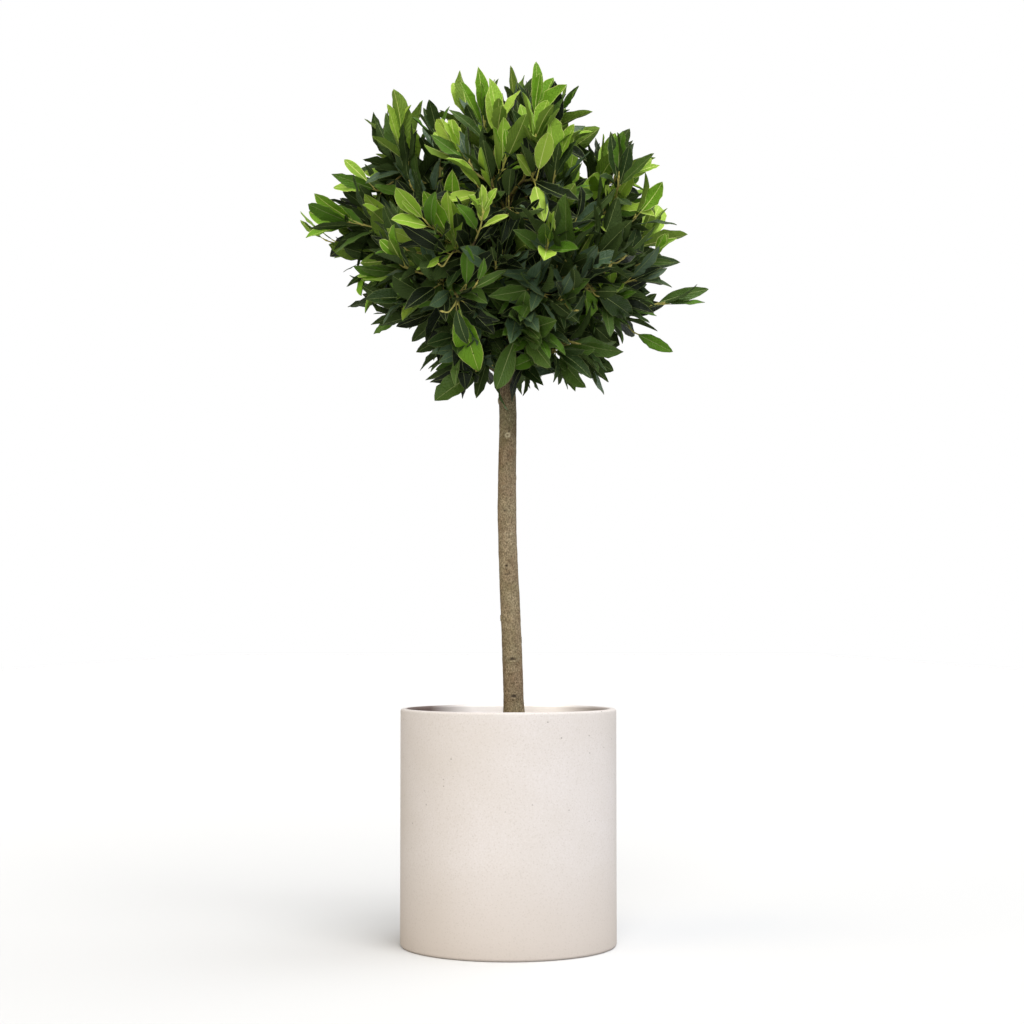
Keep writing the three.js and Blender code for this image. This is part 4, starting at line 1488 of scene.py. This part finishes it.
def make_twigs(sprays):
    """The woody twigs, then the green shoots with a bud at each end, each kind joined to one piece."""
    wood = Stock()
    green = Stock()
    for spray in sprays:
        travelled = lengths_along(spray.path)
        split = int(np.searchsorted(travelled, travelled[-1] - LEAFY_LENGTH * 1.15))
        split = min(max(split, 1), len(spray.path) - 4)
        knuckles = 1 + 0.13 * np.sin(np.arange(split + 2) * 2.2)
        taper = np.linspace(1.0, 0.72, len(spray.path) - split)
        for stock, path, girth in (
            (wood, spray.path[: split + 2], spray.girth[: split + 2] * knuckles),
            (green, spray.path[split:], spray.girth[split:] * taper),
        ):
            if len(path) > 2:
                rings, _ = sweep(path, girth, TWIG_SIDES)
                stock.add(*limb_mesh(rings, path[0], path[-1]))
        axis = headings_along(spray.path)[-1]
        bud_line = spray.path[-1] + axis * np.linspace(*BUD_REACH, len(BUD_GIRTHS))[:, None] * MM
        rings, _ = sweep(bud_line, np.array(BUD_GIRTHS) * MM, TWIG_SIDES)
        green.add(*limb_mesh(rings, bud_line[0], bud_line[-1]), slot=1)
    bark = stem_skin("twig_bark", colour(138, 124, 82), colour(96, 83, 54), 0.6)
    shoot = stem_skin("shoot_skin", colour(176, 174, 92), colour(146, 132, 72), 0.5)
    bud = stem_skin("bud_skin", colour(186, 182, 96), colour(160, 140, 76), 0.5)
    for name, stock, skins in (("twigs", wood, [bark]), ("shoots", green, [shoot, bud])):
        made = stock.piece(name, skins)
        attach(made, BODY)


LEAF_GROUPS = {
    "leaves_top": ["top"],
    "leaves_upper_front": ["upper_front", "upper_left", "upper_right"],
    "leaves_left": ["left", "low_left"],
    "leaves_right": ["right", "low_right"],
    "leaves_front": ["front_left", "front_right"],
    "leaves_low_front": ["low_front"],
    "leaves_upper_back": ["upper_back"],
    "leaves_back": ["back_left", "back_right"],
    "leaves_low_back": ["low_back"],
    "leaves_skirt": ["skirt_left", "skirt_right"],
}


def make_head():
    """Twigs, shoots and leaves of the whole head."""
    rng = np.random.default_rng(FIRST_SEED)
    placed = leaders()
    sprays = outer_sprays(rng, placed) + inner_sprays(rng) + fork_sprays(rng)
    set_axes(sprays, rng)
    for spray in sprays:
        colour_spray(spray, rng)
        spray.size = float(np.clip(rng.normal(1.0, 0.08), 0.8, 1.2))
        if spray.outer:
            spray.size *= 1 - 0.06 * spray.jut
            spray.leaves = int(round(rng.uniform(*OUTER_LEAVES) - 2.5 * spray.jut))
            upright = max(0.0, spray.axis[2]) ** 3
            reach = LEAF_LENGTH * spray.size * (1.05 + 0.36 * upright) * rng.normal(1, 0.08)
            spray.end = spray.tip - spray.axis * reach
        else:
            spray.leaves = int(rng.integers(*INNER_LEAVES))
            spray.end = spray.tip - spray.axis * LEAF_LENGTH * 0.8
    grown = grow(placed + sprays)
    make_twigs(grown)
    skins = leaf_skins()
    for name, masses in LEAF_GROUPS.items():
        make_leaves(name, masses, grown, skins, rng)


# ---------------------------------------------------------------------------------- floor, light, camera

FLOOR_HALF = 7.0
CAMERA_DISTANCE = 3.165
CAMERA_HEIGHT = 0.5036
CAMERA_ASIDE = 5.8 * MM
LENS = 68.33
SENSOR_WIDTH = 36.0
CAMERA_TILT = math.radians(2.2)
CAMERA_SHIFT = 0.045


def make_floor():
    """A pale floor that runs back out of sight."""
    stock = Stock()
    side, back = FLOOR_HALF, FLOOR_HALF * 6
    corners = [(-side, -side, 0), (side, -side, 0), (side, back, 0), (-side, back, 0)]
    stock.add(corners, [np.array([[0, 1, 2, 3]])])
    material, recipe, shader = surface("floor_white", Roughness=0.9, Specular_IOR_Level=0.0)
    seen = recipe.node("ShaderNodeLightPath").outputs["Is Camera Ray"]
    tone = recipe.blend(seen, (0.48, 0.475, 0.47, 1.0), (0.63, 0.63, 0.63, 1.0))
    join(recipe, tone, shader.inputs["Base Color"])
    floor = stock.piece("floor", [material])


def make_world():
    """A white studio round the tree: bright above, dimmer below, and white behind it."""
    world = bpy.data.worlds.new("studio")
    bpy.context.scene.world = world
    world.use_nodes = True
    recipe = Recipe(world.node_tree)
    sky = world.node_tree.nodes["Background"]
    place = recipe.node("ShaderNodeTexCoord").outputs["Generated"]
    height = recipe.node("ShaderNodeSeparateXYZ", {"Vector": place}).outputs[2]
    tone = recipe.blend(recipe.span(height, -0.2, 0.75), (0.24, 0.24, 0.24, 1), (0.50, 0.52, 0.55, 1))
    seen = recipe.node("ShaderNodeLightPath").outputs["Is Camera Ray"]
    join(recipe, recipe.blend(seen, tone, (1, 1, 1, 1)), sky.inputs["Color"])


def make_sun(name, direction, strength, spread, tone):
    """A broad soft light from one side."""
    light = bpy.data.lights.new(name, "SUN")
    light.energy = strength
    light.angle = math.radians(spread)
    light.color = tone
    made = bpy.data.objects.new(name, light)
    made.rotation_mode = "QUATERNION"
    made.rotation_quaternion = Vector(direction).to_track_quat("Z", "Y")
    bpy.context.scene.collection.objects.link(made)


def make_camera():
    """The camera stands low in front of the planter and looks up a little."""
    camera = bpy.data.cameras.new("camera")
    camera.lens = LENS
    camera.sensor_width = SENSOR_WIDTH
    camera.shift_y = CAMERA_SHIFT
    made = bpy.data.objects.new("camera", camera)
    made.location = (CAMERA_ASIDE, -CAMERA_DISTANCE, CAMERA_HEIGHT)
    made.rotation_euler = (math.pi / 2 + CAMERA_TILT, 0, 0)
    bpy.context.scene.collection.objects.link(made)
    bpy.context.scene.camera = made


make_planter()
make_compost()
make_trunk()
make_boughs()
make_head()
make_floor()
make_world()
make_sun("key", (0.25, -0.66, 0.85), 2.75, 48, (1.0, 0.995, 0.985))
make_sun("front", (-0.1, -1.0, 0.12), 0.75, 24, (1.0, 1.0, 1.0))
make_sun("warm_side", (-0.9, -0.45, 0.45), 0.95, 50, (1.0, 0.82, 0.52))
make_sun("top", (0.78, 0.2, 1.0), 1.35, 60, (1.0, 1.0, 1.0))
make_camera()
bpy.context.scene.view_settings.view_transform = "Standard"
